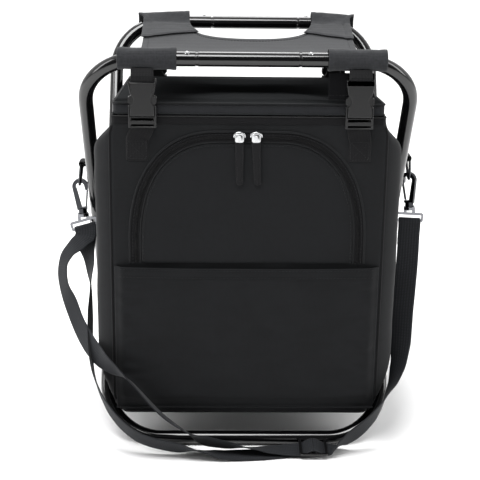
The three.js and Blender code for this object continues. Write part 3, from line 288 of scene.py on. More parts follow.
@dataclass(frozen=True)
class Smooth:
    """A smooth hard surface: enamel, plating, moulded plastic, film or board."""

    name: str
    dark: str
    light: str
    metallic: float
    roughness: float
    spread: float  # how far the roughness wanders
    grain_mm: float
    bump_mm: float
    coat: float = 0.0
    ior: float = 1.5

    def make(self) -> Material:
        """Builds the surface's nodes."""
        material, tree, shader = new_material(self.name)
        place = add_node(tree, "ShaderNodeTexCoord").outputs[Pattern.SOLID.value]
        grain = add_node(
            tree,
            "ShaderNodeTexNoise",
            {"Vector": place},
            {"Scale": 1.0 / (self.grain_mm * MM), "Detail": 3.0},
        ).outputs["Fac"]
        cloud = add_node(
            tree, "ShaderNodeTexNoise", {"Vector": place}, {"Scale": 1.0 / (CLOUD_MM * MM), "Detail": 5.0}
        ).outputs["Fac"]
        colour = add_node(
            tree,
            "ShaderNodeMix",
            {"Factor": cloud},
            {6: linear(self.dark), 7: linear(self.light)},
            data_type="RGBA",
        ).outputs[2]
        tree.links.new(colour, shader.inputs["Base Color"])
        rough = add_node(
            tree,
            "ShaderNodeMapRange",
            {"Value": cloud},
            {"To Min": self.roughness - self.spread, "To Max": self.roughness + self.spread},
        ).outputs["Result"]
        tree.links.new(rough, shader.inputs["Roughness"])
        rise = add_node(
            tree, "ShaderNodeBump", {"Height": grain}, {"Strength": 0.4, "Distance": self.bump_mm * MM}
        )
        tree.links.new(rise.outputs["Normal"], shader.inputs["Normal"])
        shader.inputs["Metallic"].default_value = self.metallic
        shader.inputs["Coat Weight"].default_value = self.coat
        shader.inputs["Coat Roughness"].default_value = 0.06
        if self.metallic < 0.5:
            shader.inputs["IOR"].default_value = self.ior
        return material


def new_material(name: str) -> tuple[Material, NodeTree, Node]:
    """An empty material with its shader.

    Args:
        name: What the real material is and how it was made.

    Returns:
        The material, its node tree and its shader.
    """
    material = bpy.data.materials.new(name)
    material.use_nodes = True
    tree = material.node_tree
    shader = next(node for node in tree.nodes if node.type == "BSDF_PRINCIPLED")
    return material, tree, shader


# Bent steel tube in gloss black enamel: near-black body with sharp reflections and a faint orange peel.
ENAMEL = Smooth(
    "gloss_black_enamelled_steel", "#030304", "#060607",
    metallic=0.0, roughness=0.13, spread=0.03, grain_mm=2.5, bump_mm=0.02, coat=0.25,
)
# Bright nickel plate on the rivets and zip sliders: clear reflections, a little milky.
BRIGHT = Smooth(
    "bright_nickel_plated_steel", "#b9babb", "#d9dadb",
    metallic=1.0, roughness=0.16, spread=0.05, grain_mm=0.8, bump_mm=0.01,
)
# Dark nickel plate on the cast hooks and the rings: grey mirror over a soft cast skin.
NICKEL = Smooth(
    "dark_nickel_plated_zinc", "#2e2f31", "#424346",
    metallic=1.0, roughness=0.15, spread=0.06, grain_mm=0.8, bump_mm=0.02,
)
# Pressed strap loops: the same plating, drawn brighter than the hooks as a painted highlight for the light
# that their flat bars reflect.
HIGHLIT_LOOP = Smooth(
    "pressed_nickel_loop_painted_highlight", "#68696c", "#828387",
    metallic=1.0, roughness=0.2, spread=0.06, grain_mm=0.8, bump_mm=0.02,
)
# Acetal moulded in a fine-eroded tool: satin black that catches long soft highlights.
ACETAL = Smooth(
    "moulded_black_acetal", "#070708", "#0c0c0d",
    metallic=0.0, roughness=0.34, spread=0.05, grain_mm=0.35, bump_mm=0.02,
)
# Silver film welded on the inside: dull foil with fine creases.
FILM = Smooth(
    "welded_silver_film", "#8f9398", "#b5b9bd",
    metallic=0.6, roughness=0.38, spread=0.08, grain_mm=6.0, bump_mm=0.35,
)
# Closed-cell foam, cut from sheet: chalky with a fine open skin.
FOAM = Smooth(
    "cut_closed_cell_foam", "#c4c5c0", "#d6d7d2",
    metallic=0.0, roughness=0.85, spread=0.04, grain_mm=0.9, bump_mm=0.2,
)
# Rigid sheet under the liner: extruded black board.
BOARD = Smooth(
    "extruded_black_board", "#17181a", "#1f2022",
    metallic=0.0, roughness=0.5, spread=0.05, grain_mm=1.5, bump_mm=0.03,
)
# Nylon zip spiral: drawn monofilament, dark and fairly matt.
SPIRAL = Smooth(
    "wound_nylon_spiral", "#0b0b0c", "#161617",
    metallic=0.0, roughness=0.6, spread=0.06, grain_mm=0.6, bump_mm=0.15, ior=1.3,
)
# Seat cloth: heather yarn in two greys. The real threads are 0.5 mm, drawn at 1.5 mm so that they show.
HEATHER = Woven(
    "woven_heather_polyester", "#191a1b", "#38393c",
    thread_mm=1.5, mottle=0.7, mottle_mm=2.4, roughness=0.9, sheen=0.14, bump_mm=0.22,
)
# Bag cloth: charcoal polyester, calendered and coated inside. Threads of 0.6 mm are drawn at 1.3 mm.
CHARCOAL = Woven(
    "coated_charcoal_polyester", "#0d0e0f", "#1b1c1e",
    thread_mm=1.3, mottle=0.5, mottle_mm=5.0, roughness=0.78, sheen=0.07, bump_mm=0.16,
)
# The pockets are cut from the same cloth and look a little darker.
POCKET_CLOTH = Woven(
    "coated_charcoal_polyester_pocket", "#0d0e0f", "#191a1c",
    thread_mm=1.3, mottle=0.5, mottle_mm=6.0, roughness=0.8, sheen=0.07, bump_mm=0.16,
)
# The lid's top reads nearly black: the same cloth with no gloss or sheen at all, a painted shade for the
# shadow that the seat casts on it.
SHADED_LID_CLOTH = Woven(
    "charcoal_polyester_painted_shade_lid", "#202122", "#2c2d2e",
    thread_mm=1.3, mottle=0.5, mottle_mm=5.0, roughness=0.95, sheen=0.0, bump_mm=0.16, gloss=0.0,
)
# The tab behind the right hanger: the same cloth drawn darker and matt, a painted shade where it hangs behind
# the hanger.
SHADED_TAB_CLOTH = Woven(
    "charcoal_polyester_painted_shade_tab", "#09090a", "#141416",
    thread_mm=1.3, mottle=0.5, mottle_mm=5.0, roughness=0.9, sheen=0.02, bump_mm=0.16, gloss=0.06,
)
# The lid's edge band: the bag's cloth drawn lighter, a painted light where the lamps fall on the band.
LIT_BAND_CLOTH = Woven(
    "coated_charcoal_polyester_painted_light_band", "#151617", "#27282b",
    thread_mm=1.3, mottle=0.5, mottle_mm=5.0, roughness=0.8, sheen=0.08, bump_mm=0.16,
)
# Zip tape: plain narrow weave of fine threads.
TAPE = Woven(
    "woven_zip_tape", "#0a0a0b", "#151517",
    thread_mm=1.0, mottle=0.4, mottle_mm=2.0, roughness=0.85, sheen=0.06, bump_mm=0.12,
)
# Strap and hanger webbing, 25 mm: real ribs are 1.1 mm apart, drawn at 1.8 mm.
WEBBING = Webbed(
    "ribbed_polyester_webbing", "#0c0c0d", "#1a1a1c",
    rib_mm=1.8, cord_mm=3.1, roughness=0.75,
)
# Shoulder strap: the same webbing, softer and a shade lighter all along its length.
STRAP = Webbed(
    "ribbed_polyester_strap", "#16171a", "#323437",
    rib_mm=1.8, cord_mm=3.1, roughness=0.78,
)
# Zip pulls: folded tape, darker and closer woven than the strap.
PULL = Woven(
    "folded_pull_tape", "#0c0c0d", "#1a1a1c",
    thread_mm=1.1, mottle=0.4, mottle_mm=2.0, roughness=0.78, sheen=0.08, bump_mm=0.15,
)
# Studio floor: seamless paper with hardly any tooth.
PAPER = Smooth(
    "seamless_studio_paper", "#fafafa", "#fdfdfd",
    metallic=0.0, roughness=0.85, spread=0.03, grain_mm=1.0, bump_mm=0.02,
)
# Sewing thread, twisted polyester: catches the light on each stitch.
THREAD = Woven(
    "twisted_sewing_thread", "#121213", "#252528",
    thread_mm=0.8, mottle=0.3, mottle_mm=1.0, roughness=0.65, sheen=0.1, bump_mm=0.05,
)

SHELF: dict[str, Material] = {}


def dressed(finish: Woven | Webbed | Smooth) -> Material:
    """The material of a finish, made once."""
    if finish.name not in SHELF:
        SHELF[finish.name] = finish.make()
    return SHELF[finish.name]


# Making pieces.


def new_mesh() -> BMesh:
    """An empty mesh that can hold a UV map."""
    mesh = bmesh.new()
    mesh.loops.layers.uv.new("UVMap")
    return mesh


def framed(places: Sequence[Vector], closed: bool = False) -> list[Matrix]:
    """Places along a path as frames that don't twist, with z along the path.

    Args:
        places: The path's points.
        closed: Whether the path runs back to its start.

    Returns:
        One matrix for each point.
    """
    frames: list[Matrix] = []
    count = len(places)
    side: Vector | None = None
    for i, place in enumerate(places):
        before = places[i - 1] if i > 0 or closed else place
        after = places[(i + 1) % count] if i < count - 1 or closed else place
        along = (after - before).normalized()
        if side is None:
            side = along.orthogonal()
        side = (side - along * side.dot(along)).normalized()
        turn = Matrix((side, along.cross(side), along)).transposed()
        frames.append(Matrix.Translation(place) @ turn.to_4x4())
    return frames


def sweep(
    mesh: BMesh,
    places: Sequence[Vector],
    radius: float,
    sides: int = 12,
    closed: bool = False,
    ends: bool = True,
) -> None:
    """A round bar or tube along a path, ring by ring.

    Args:
        mesh: What it is added to.
        places: The path's points, in metres.
        radius: Of the bar, in millimetres.
        sides: Facets round it.
        closed: Whether the path runs back to its start.
        ends: Whether open ends get a face.
    """
    rings: list[list[Vector]] = []
    for matrix in framed(places, closed):
        ring = []
        for i in range(sides):
            turn = math.tau * i / sides
            ring.append(matrix @ Vector((radius * MM * math.cos(turn), radius * MM * math.sin(turn), 0)))
        rings.append(ring)
    made = loft(mesh, rings, closed)
    if ends and not closed:
        for ring_verts in (made[0], made[-1]):
            mesh.faces.new(ring_verts)


def cloth_grid(
    mesh: BMesh,
    columns: int,
    rows: int,
    place: Callable[[float, float], Vector],
    size: tuple[float, float],
) -> list[BMVert]:
    """A sheet of cloth, with a UV map in metres.

    Args:
        mesh: What it is added to.
        columns: Faces across.
        rows: Faces along.
        place: Where the point at a share across and a share along goes.
        size: Width and length of the cloth, in millimetres.

    Returns:
        The sheet's points.
    """
    layer = mesh.loops.layers.uv.verify()
    made = bmesh.ops.create_grid(mesh, x_segments=columns, y_segments=rows, size=0.5, calc_uvs=True)
    shares = {vert: (vert.co.x + 0.5, vert.co.y + 0.5) for vert in made["verts"]}
    faces = {face for vert in made["verts"] for face in vert.link_faces}
    for face in faces:
        for loop in face.loops:
            across, along = shares[loop.vert]
            loop[layer].uv = (across * size[0] * MM, along * size[1] * MM)
    for vert, (across, along) in shares.items():
        vert.co = place(across, along)
    return made["verts"]


def slab(
    mesh: BMesh, outline: Outline, front: float, back: float, bevel: float = 0.0, segments: int = 2
) -> None:
    """A plate cut to an outline that is seen from the front.

    Args:
        mesh: What it is added to.
        outline: Points (x, z) in millimetres.
        front: y of its front face.
        back: y of its back face.
        bevel: Rounding of the edges of the front face.
        segments: Steps of that rounding.
    """
    verts = [mesh.verts.new(spot(x, back, z)) for x, z in outline]
    base = mesh.faces.new(verts)
    made = bmesh.ops.extrude_face_region(mesh, geom=[base])["geom"]
    moved = [item for item in made if isinstance(item, BMVert)]
    bmesh.ops.translate(mesh, verts=moved, vec=Vector((0, (front - back) * MM, 0)))
    if not base.is_valid:
        mesh.faces.new([vert for vert in verts if vert.is_valid])
    if bevel > 0:
        ring = set(moved)
        edges = [e for e in mesh.edges if e.verts[0] in ring and e.verts[1] in ring]
        bmesh.ops.bevel(
            mesh,
            geom=edges,
            offset=bevel * MM,
            segments=segments,
            profile=0.5,
            affect="EDGES",
            material=-1,
        )


def lathe(mesh: BMesh, profile: Outline, middle: Vector, steps: int = 32) -> None:
    """Turns a profile of (radius, x) in millimetres about a line along x through a place."""
    verts = [mesh.verts.new(middle + Vector((x, 0, r)) * MM) for r, x in profile]
    edges = [mesh.edges.new(pair) for pair in zip(verts, verts[1:])]
    bmesh.ops.spin(
        mesh,
        geom=verts + edges,
        cent=middle,
        axis=ACROSS,
        angle=math.tau,
        steps=steps,
        use_merge=True,
    )


def walk(places: Sequence[Vector], pitch: float) -> list[tuple[Vector, Vector]]:
    """Places at an even pitch along a path, each with the path's direction.

    Args:
        places: The path's points, in metres.
        pitch: Millimetres from one to the next.

    Returns:
        Pairs of place and direction.
    """
    found: list[tuple[Vector, Vector]] = []
    left = pitch * MM / 2
    for a, b in zip(places, places[1:]):
        run = (b - a).length
        while left <= run and run > 0:
            found.append((a.lerp(b, left / run), (b - a).normalized()))
            left += pitch * MM
        left -= run
    return found


def sew(mesh: BMesh, places: Sequence[Vector], out: Vector, pitch: float = 3.4, thick: float = 0.7) -> None:
    """A row of stitches that lies half sunk in the cloth.

    Args:
        mesh: What they are added to.
        places: The row's path, in metres.
        out: The way the cloth faces there.
        pitch: Millimetres from one stitch to the next.
        thick: Of the thread, in millimetres.
    """
    for place, along in walk(places, pitch):
        side = along.cross(out).normalized()
        turn = Matrix((along, side, side.cross(along))).transposed().to_4x4()
        shape = Matrix.Diagonal((pitch * 0.36, thick * 0.5, thick * 0.45, 1.0))
        bmesh.ops.create_icosphere(
            mesh, subdivisions=1, radius=MM, matrix=Matrix.Translation(place) @ turn @ shape
        )


@dataclass
class Piece:
    """A finished piece: its mesh made into an object and dressed; without a blend it is set on what carries
    it, with one its modifiers are baked in.
    """

    name: str
    mesh: BMesh
    finish: Woven | Webbed | Smooth
    body: str = "bag_body"
    slot: str = ""
    replaces: tuple[str, ...] = ()
    thick: float = 0.0  # of the wall that Solidify gives, in millimetres
    offset: float = -1.0
    levels: int = 0
    crease: float = 40.0  # edges sharper than this stay sharp, in degrees
    round: float = 0.0  # bevel, in millimetres
    weld: bool = True
    turn_out: bool = True
    turn_up: bool = False  # for a flat sheet: its faces look up
    outward: Vector | None = None  # for an open sheet: a place that its faces look towards
    blend: tuple[str, str, Vector, Vector] | None = None

    def looks_in(self) -> bool:
        """Whether the open sheet's faces look the wrong way."""
        if self.turn_up:
            return sum(face.normal.z for face in self.mesh.faces) < 0
        if self.outward is None:
            return False
        self.mesh.faces.ensure_lookup_table()
        near = min(self.mesh.faces, key=lambda face: (face.calc_center_median() - self.outward).length)
        return near.normal.dot(self.outward - near.calc_center_median()) < 0

    def settle(self) -> Object:
        """Makes the object.

        Returns:
            The finished object.
        """
        if self.weld:
            bmesh.ops.remove_doubles(self.mesh, verts=self.mesh.verts, dist=0.00002)
        if self.turn_out:
            bmesh.ops.recalc_face_normals(self.mesh, faces=self.mesh.faces)
            self.mesh.normal_update()
            if self.looks_in():
                bmesh.ops.reverse_faces(self.mesh, faces=self.mesh.faces)
        data = bpy.data.meshes.new(self.name)
        self.mesh.to_mesh(data)
        self.mesh.free()
        data.polygons.foreach_set("use_smooth", [True] * len(data.polygons))
        data.set_sharp_from_angle(angle=math.radians(self.crease))
        data.materials.append(dressed(self.finish))
        thing = bpy.data.objects.new(self.name, data)
        bpy.context.scene.collection.objects.link(thing)
        if self.round > 0:
            bevel = thing.modifiers.new("edges", "BEVEL")
            bevel.width = self.round * MM
            bevel.segments = 2
            bevel.limit_method = "ANGLE"
            bevel.angle_limit = math.radians(self.crease)
        if self.thick > 0:
            wall = thing.modifiers.new("wall", "SOLIDIFY")
            wall.thickness = self.thick * MM
            wall.offset = self.offset
        if self.levels > 0:
            soft = thing.modifiers.new("soft", "SUBSURF")
            soft.levels = self.levels
            soft.render_levels = self.levels
        if self.blend is None:
            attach(thing, self.body)
        else:
            baked(thing)
            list(self.blend)
            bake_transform(thing)
        if self.replaces:
            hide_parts(*self.replaces)
        log.debug("%s: %d faces", self.name, len(data.polygons))
        return thing


def eased_copy(node: str, finish: Smooth, round_mm: float, slot: str, name: str = "") -> Object:
    """A CAD solid's twin with its edges rounded, as a tool or a mould leaves them.

    Args:
        node: The CAD node that it stands for.
        finish: What it is dressed in.
        round_mm: Radius of the rounding.
        slot: The record's material slot.
        name: The piece's name, if the node's won't do.

    Returns:
        The finished object.
    """
    source = frame["nodes"][node]
    mesh = bmesh.new()
    mesh.from_mesh(source.data)
    bmesh.ops.remove_doubles(mesh, verts=mesh.verts, dist=0.00002)
    bmesh.ops.dissolve_limit(mesh, angle_limit=math.radians(1.5), verts=mesh.verts, edges=mesh.edges)
    piece = Piece(
        name or f"{node}_rounded",
        mesh,
        finish,
        body=body_of(node),
        slot=slot,
        replaces=(node,),
        round=round_mm,
        crease=32.0,
        weld=False,
        turn_out=False,
    )
    return piece.settle()


def body_of(node: str) -> str:
    """The body that a CAD node belongs to."""
    bodies: Mapping[str, Iterable[str]] = frame["record"]["behaviour"]["bodies"]
    return next(body for body, nodes in bodies.items() if node in nodes)


def repaint(node: str, finish: Woven | Webbed | Smooth) -> None:
    """Gives a CAD node that keeps its own shape a better finish."""
    slots = frame["nodes"][node].material_slots
    for slot in slots:
        slot.material = dressed(finish)


def baked(thing: Object) -> None:
    """Puts a piece's modifiers into its mesh."""
    bpy.context.view_layer.update()
    graph = bpy.context.evaluated_depsgraph_get()
    final = bpy.data.meshes.new_from_object(thing.evaluated_get(graph))
    thing.modifiers.clear()
    thing.data = final


def loft(mesh: BMesh, rings: Sequence[Sequence[Vector]], closed: bool = False) -> list[list[BMVert]]:
    """Joins rings of points with faces.

    Args:
        mesh: What they are added to.
        rings: Each with the same number of points.
        closed: Whether the last ring is joined to the first.

    Returns:
        The points made, ring by ring.
    """
    made = [[mesh.verts.new(place) for place in ring] for ring in rings]
    pairs = list(zip(made, made[1:]))
    if closed:
        pairs.append((made[-1], made[0]))
    for near, far in pairs:
        for i, vert in enumerate(near):
            j = (i + 1) % len(near)
            mesh.faces.new((vert, near[j], far[j], far[i]))
    return made


def arc(
    middle: tuple[float, float], radius: tuple[float, float], first: float, last: float, steps: int
) -> Outline:
    """Points on part of an ellipse, in millimetres.

    Args:
        middle: Of the ellipse.
        radius: Across and up.
        first: Start, in degrees from across.
        last: End, in degrees.
        steps: How many runs it is cut into.

    Returns:
        The points, both ends with them.
    """
    turns = (math.radians(first + (last - first) * i / steps) for i in range(steps + 1))
    return [(middle[0] + radius[0] * math.cos(t), middle[1] + radius[1] * math.sin(t)) for t in turns]


def line(a: tuple[float, float], b: tuple[float, float], steps: int) -> Outline:
    """Even points from a up to, but without, b."""
    return [(a[0] + (b[0] - a[0]) * i / steps, a[1] + (b[1] - a[1]) * i / steps) for i in range(steps)]


def spaced(route: Sequence[Vector], count: int) -> list[Vector]:
    """The same path with a number of evenly spaced points."""
    lengths = [0.0]
    for a, b in zip(route, route[1:]):
        lengths.append(lengths[-1] + (b - a).length)
    found: list[Vector] = []
    leg = 0
    for i in range(count):
        reach = lengths[-1] * i / (count - 1)
        while leg < len(route) - 2 and lengths[leg + 1] < reach:
            leg += 1
        run = max(lengths[leg + 1] - lengths[leg], 1e-9)
        found.append(route[leg].lerp(route[leg + 1], min(max((reach - lengths[leg]) / run, 0.0), 1.0)))
    return found


def strip(
    mesh: BMesh,
    places: Sequence[Vector],
    across: Sequence[Vector],
    width: float,
    columns: int = 4,
    cup: float = 0.0,
) -> None:
    """A flat strip of webbing along a path, with a UV map in metres.

    Args:
        mesh: What it is added to.
        places: Its middle line, in metres.
        across: The way that its width points at each place.
        width: In millimetres.
        columns: Faces across.
        cup: How far its middle stands proud of its edges, in millimetres.
    """
    layer = mesh.loops.layers.uv.verify()
    rows: list[list[BMVert]] = []
    runs = [0.0]
    for i, place in enumerate(places):
        before, after = places[max(i - 1, 0)], places[min(i + 1, len(places) - 1)]
        along = (after - before).normalized()
        side = (across[i] - along * across[i].dot(along)).normalized()
        out = along.cross(side)
        row = []
        for k in range(columns + 1):
            share = k / columns - 0.5
            lift = cup * (0.25 - share * share) * 4.0
            row.append(mesh.verts.new(place + side * (share * width * MM) + out * (lift * MM)))
        rows.append(row)
        if i > 0:
            runs.append(runs[-1] + (place - places[i - 1]).length)
    for i, (near, far) in enumerate(zip(rows, rows[1:])):
        for k in range(columns):
            face = mesh.faces.new((near[k], near[k + 1], far[k + 1], far[k]))
            left, right = k / columns * width * MM, (k + 1) / columns * width * MM
            shares = ((left, runs[i]), (right, runs[i]), (right, runs[i + 1]), (left, runs[i + 1]))
            for loop, share_uv in zip(face.loops, shares):
                loop[layer].uv = share_uv


COIL_POINTS = 6  # to each turn of a zip's spiral


def coil(mesh: BMesh, places: Sequence[Vector], out: Vector, radius: float, pitch: float) -> None:
    """A zip's nylon spiral, wound along a path.

    Args:
        mesh: What it is added to.
        places: The path, in metres.
        out: The way the zip faces.
        radius: Of the winding, in millimetres.
        pitch: Millimetres from turn to turn.
    """
    points: list[Vector] = []
    for i, (place, along) in enumerate(walk(places, pitch / COIL_POINTS)):
        side = along.cross(out).normalized()
        turn = math.tau * i / COIL_POINTS
        points.append(place + (side * math.cos(turn) + out * (0.7 * math.sin(turn))) * (radius * MM))
    sweep(mesh, points, 0.36, sides=5)


# Frame.

PIVOT_Z = 215.0
RAIL_Z = 422.5
DEPTH = 138.0  # from the middle of the frame to a rail
TUBE = 7.5
LEG_TILT = math.atan2(DEPTH, RAIL_Z - PIVOT_Z)
LEG_HALF = math.hypot(DEPTH, RAIL_Z - PIVOT_Z)
BEND = 60.0
HOOP_END = 52.8  # from the middle of the joining tube to the hoop's open end


@dataclass
class Hoop:
    """A bent tube: a top rail, two legs and a bottom rail in one, with a short tube that joins its ends.

    Args:
        name: Of the hoop in the CAD.
        rail: Of its joining tube there.
        body: What both ride on.
        half_width: From the middle to the leg's middle, in millimetres.
        shift: Of the joining tube, off the middle.
        front_top: Whether the top rail is the front one.
    """

    name: str
    rail: str
    body: str
    half_width: float
    shift: float
    front_top: bool

    def point(self, x: float, s: float) -> Vector:
        """The place that is x across and s up the hoop's own plane from the pivot."""
        turn = math.pi / 2 + (LEG_TILT if self.front_top else -LEG_TILT)
        return spot(x, s * math.cos(turn), PIVOT_Z + s * math.sin(turn))

    def path(self) -> list[Vector]:
        """The middle line of the tube from one open end round to the other."""
        across, up = self.half_width - BEND, LEG_HALF - BEND
        end = self.shift + HOOP_END
        found: Outline = [(end, LEG_HALF), (end + 0.4, LEG_HALF), (end + 1.2, LEG_HALF)]
        for side, high, first in ((1, 1, 90), (1, -1, 0), (-1, -1, -90), (-1, 1, -180)):
            found += arc((side * across, high * up), (BEND, BEND), first, first - 90, 14)
        end = self.shift - HOOP_END
        found += [(end - 1.2, LEG_HALF), (end - 0.4, LEG_HALF), (end, LEG_HALF)]
        return [self.point(x, s) for x, s in found]

    def build(self) -> None:
        """Makes the tube and the tube that joins it."""
        mesh = new_mesh()
        sweep(mesh, self.path(), TUBE, sides=28, ends=False)
        Piece(f"{self.name}_tube", mesh, ENAMEL, self.body, "tube", (self.name,), thick=1.2).settle()
        mesh = new_mesh()
        half, spigot, notch = 52.5, 72.5, 1.2  # ends of the tube and of its spigots, and its end grooves
        bore, thin, neck, slope, full = 5.0, 6.0, 6.9, 7.2, 7.5  # radii
        profile: Outline = [(bore, -spigot), (thin, -spigot), (thin, -half), (neck, -half)]
        profile += [(neck, notch - half), (slope, 1.6 * notch - half), (full, 2 * notch - half)]
        profile += [(full, half - 2 * notch), (slope, half - 1.6 * notch), (neck, half - notch)]
        profile += [(neck, half), (thin, half), (thin, spigot), (bore, spigot), (bore, -spigot)]
        rail_y = -DEPTH if self.front_top else DEPTH
        lathe(mesh, profile, spot(self.shift, rail_y, RAIL_Z), 36)
        Piece(f"{self.rail}_turned", mesh, ENAMEL, self.body, "tube", (self.rail,), crease=30).settle()


# Seat.

PANEL_EDGE = 129.4
PANEL_Z = 425.5
SAG = 19.0
SCOOP = 56.0
FACING = 68.0  # how far the sleeve's hem reaches in from the rail's middle
SLEEVE_OUT = 9.5
PANEL_LEFT = -118.0
PANEL_WIDE = 244.0
SIDE_SEAMS = (-110.0, 118.0)
TURN_IN = 17.0  # from the rail's middle to where the sleeve leaves the rail and lies on the panel


@dataclass
class SeatSide:
    """The front or rear half of the seat: a scooped panel and the two sleeves that hold it to a rail.

    Args:
        name: front or rear.
        sign: -1 in front and 1 behind.
        hoop: The body that its rail belongs to.
        left: Outer and inner end of the left sleeve, in millimetres.
        right: Inner and outer end of the right sleeve.
    """

    name: str
    sign: int
    hoop: str
    left: tuple[float, float]
    right: tuple[float, float]

    @property
    def bend(self) -> tuple[str, str, Vector, Vector]:
        """The rail's body, the bag's body and two places from the rail to the middle of the seat, kept with
        the cloth's pieces.
        """
        return (self.hoop, "bag_body", spot(0, self.sign * 127, 425), spot(0, self.sign * 2, 409))

    def share_at(self, x: float) -> float:
        """How far x is from the middle of the scoop, where 1 is a sleeve's inner end."""
        left, right = self.left[1], self.right[0]
        return abs(x - (left + right) / 2) / ((right - left) / 2)

    def scoop_at(self, x: float) -> float:
        """How far the panel's edge draws back at a place across the seat."""
        share = self.share_at(x)
        return SCOOP * math.sqrt(1 - share**3) if share < 1 else 0.0

    def top(self, x: float, y: float) -> Vector:
        """The panel's upper surface at a place.

        Args:
            x: Millimetres across.
            y: Millimetres from the middle of the seat towards this rail.

        Returns:
            The place, in metres.
        """
        z = PANEL_Z - SAG * (1 - (y / PANEL_EDGE) ** 2)
        pull = eased((y - 60) / 60) * 0.8
        z += 0.9 * ripple(x, self.sign * y, 0, 46, 3.0) + pull * ripple(x * 2.2, y * 0.5, 0, 24, self.sign)
        for seam in SIDE_SEAMS:
            z -= 0.9 * groove(x - seam, 1.6)
        edge = PANEL_EDGE - self.scoop_at(x)
        z -= 0.7 * groove(edge - y - 9.0, 1.4) * (1.0 if self.share_at(x) < 1 else 0.0)
        return spot(x, self.sign * y, z)

    def panel(self) -> None:
        """Makes this half of the panel, with its hem and stitches."""

        def place(u: float, v: float) -> Vector:
            """A point of the panel, at shares of its width and of its depth up to the scooped edge."""
            x = PANEL_LEFT + PANEL_WIDE * u
            edge = PANEL_EDGE - self.scoop_at(x)
            return self.top(x, edge * v)

        mesh = new_mesh()
        cloth_grid(mesh, 72, 34, place, (PANEL_WIDE, PANEL_EDGE))
        piece = Piece(
            f"seat_panel_{self.name}", mesh, HEATHER, slot="seat_cloth", replaces=("seat",),
            thick=1.6, levels=1, blend=self.bend, turn_up=True,
        )
        thing = piece.settle()
        steps = 61
        columns = [PANEL_LEFT + PANEL_WIDE * (i + 0.5) / steps for i in range(steps)]
        cut = sum(PANEL_EDGE - self.scoop_at(x) for x in columns) / steps * PANEL_WIDE * MM * MM
        mesh = new_mesh()
        left, right = self.left[1] + 3.0, self.right[0] - 3.0
        for inset in (8.2, 9.9):
            path = []
            for i in range(49):
                x = left + (right - left) * i / 48
                path.append(self.top(x, PANEL_EDGE - self.scoop_at(x) - inset) + Vector((0, 0, 0.4 * MM)))
            sew(mesh, path, UP, pitch=3.6)
        for seam in (SIDE_SEAMS[0] - 1.2, SIDE_SEAMS[1] + 1.2):
            path = [self.top(seam, 4.0 + 96.0 * i / 24) + Vector((0, 0, 0.3 * MM)) for i in range(25)]
            sew(mesh, path, UP, pitch=3.6)
        Piece(f"seat_stitches_{self.name}", mesh, THREAD, slot="seat_cloth", blend=self.bend).settle()

    def profile(self) -> list[tuple[float, float]]:
        """The sleeve's path round its rail: inward and upward off the rail's middle, in millimetres."""
        found: Outline = []
        for d in (FACING, 60.0, 50.0, 40.0, 30.0, 23.0, TURN_IN):
            y = DEPTH - d
            found.append((d, PANEL_Z - SAG * (1 - (y / PANEL_EDGE) ** 2) + 1.2 - RAIL_Z))
        found += arc((0, 0), (SLEEVE_OUT, SLEEVE_OUT), 62, 298, 20)
        found += [(14.0, -3.4), (18.0, -3.2), (22.0, -3.9)]
        return found

    def sleeve(self, label: str, outer: float, inner: float) -> None:
        """Makes one sleeve with its hems and stitches.

        Args:
            label: left or right.
            outer: Its end next to the leg.
            inner: Its end next to the handle gap.
        """
        loop = self.profile()
        path = spaced([Vector((d, z, 0)) for d, z in loop], 90)
        middle = (self.left[1] + self.right[0]) / 2
        half_gap = (self.right[0] - self.left[1]) / 2
        climb = 0.45  # how much nearer to the rail the facing's hem is at the sleeve's inner end

        def place(u: float, v: float) -> Vector:
            """A point of the sleeve, from outer to inner end and from the facing's hem round the rail."""
            at = v * (len(path) - 1)
            i = min(int(at), len(path) - 2)
            d, rise, _ = path[i].lerp(path[i + 1], at - i)
            facing = v < 0.5
            inner_d = d
            if facing and d > TURN_IN:
                inner_d = TURN_IN + (d - TURN_IN) * (1 - climb)
                d = TURN_IN + (d - TURN_IN) * (1 - climb * u)
            draw = max(inner_d - (DEPTH - PANEL_EDGE), 0.0) if facing else 0.0
            reach = half_gap * (1 - min(draw / SCOOP, 0.95) ** 2) ** (1 / 3)
            near = middle + (reach if inner > middle else -reach)
            trim = 7.0 if d > 9 else 7.0 * eased(d / 9)
            far = outer + (trim if outer < middle else -trim) * (1.0 if d > 0 else 0.0)
            x = far + (near - far) * u
            gap = min(abs(x - near), abs(x - far))
            raised = 0.35 * (1 - eased((gap - 5.5) / 1.6)) - 0.45 * groove(gap - 6.6, 1.1)
            puff = 0.55 * ripple(x, d * 2, rise * 2, 17, 5.0 + self.sign) + 0.3 * ripple(x, d, rise, 7, 2.0)
            span = math.hypot(d, rise)
            lift = (raised + puff) / max(span, 1.0) if span < 13 else 0.0
            rise_more = (raised + puff) if span >= 13 else 0.0
            crest = (0.6 if self.sign < 0 else 2.6) * eased(u) * groove(d - 1.0, 10.0)
            crest *= 0.0 if rise < 0 and v > 0.5 else eased((rise + 1.0) / 6.0)
            if d > TURN_IN and facing:
                under = self.top(x, DEPTH - d)
                share = eased((d - TURN_IN) / 6)
                seam = 0.8 * groove(v * (len(path) - 1) - 2.4, 0.9)
                flat = under.z / MM + 1.2 + 0.35 * raised + 0.3 * puff - seam
                curved = RAIL_Z + rise + rise_more + crest
                return spot(x, self.sign * (DEPTH - d), curved + (flat - curved) * share)
            high = RAIL_Z + rise * (1 + lift) + rise_more + crest
            return spot(x, self.sign * (DEPTH - d * (1 + lift)), high)

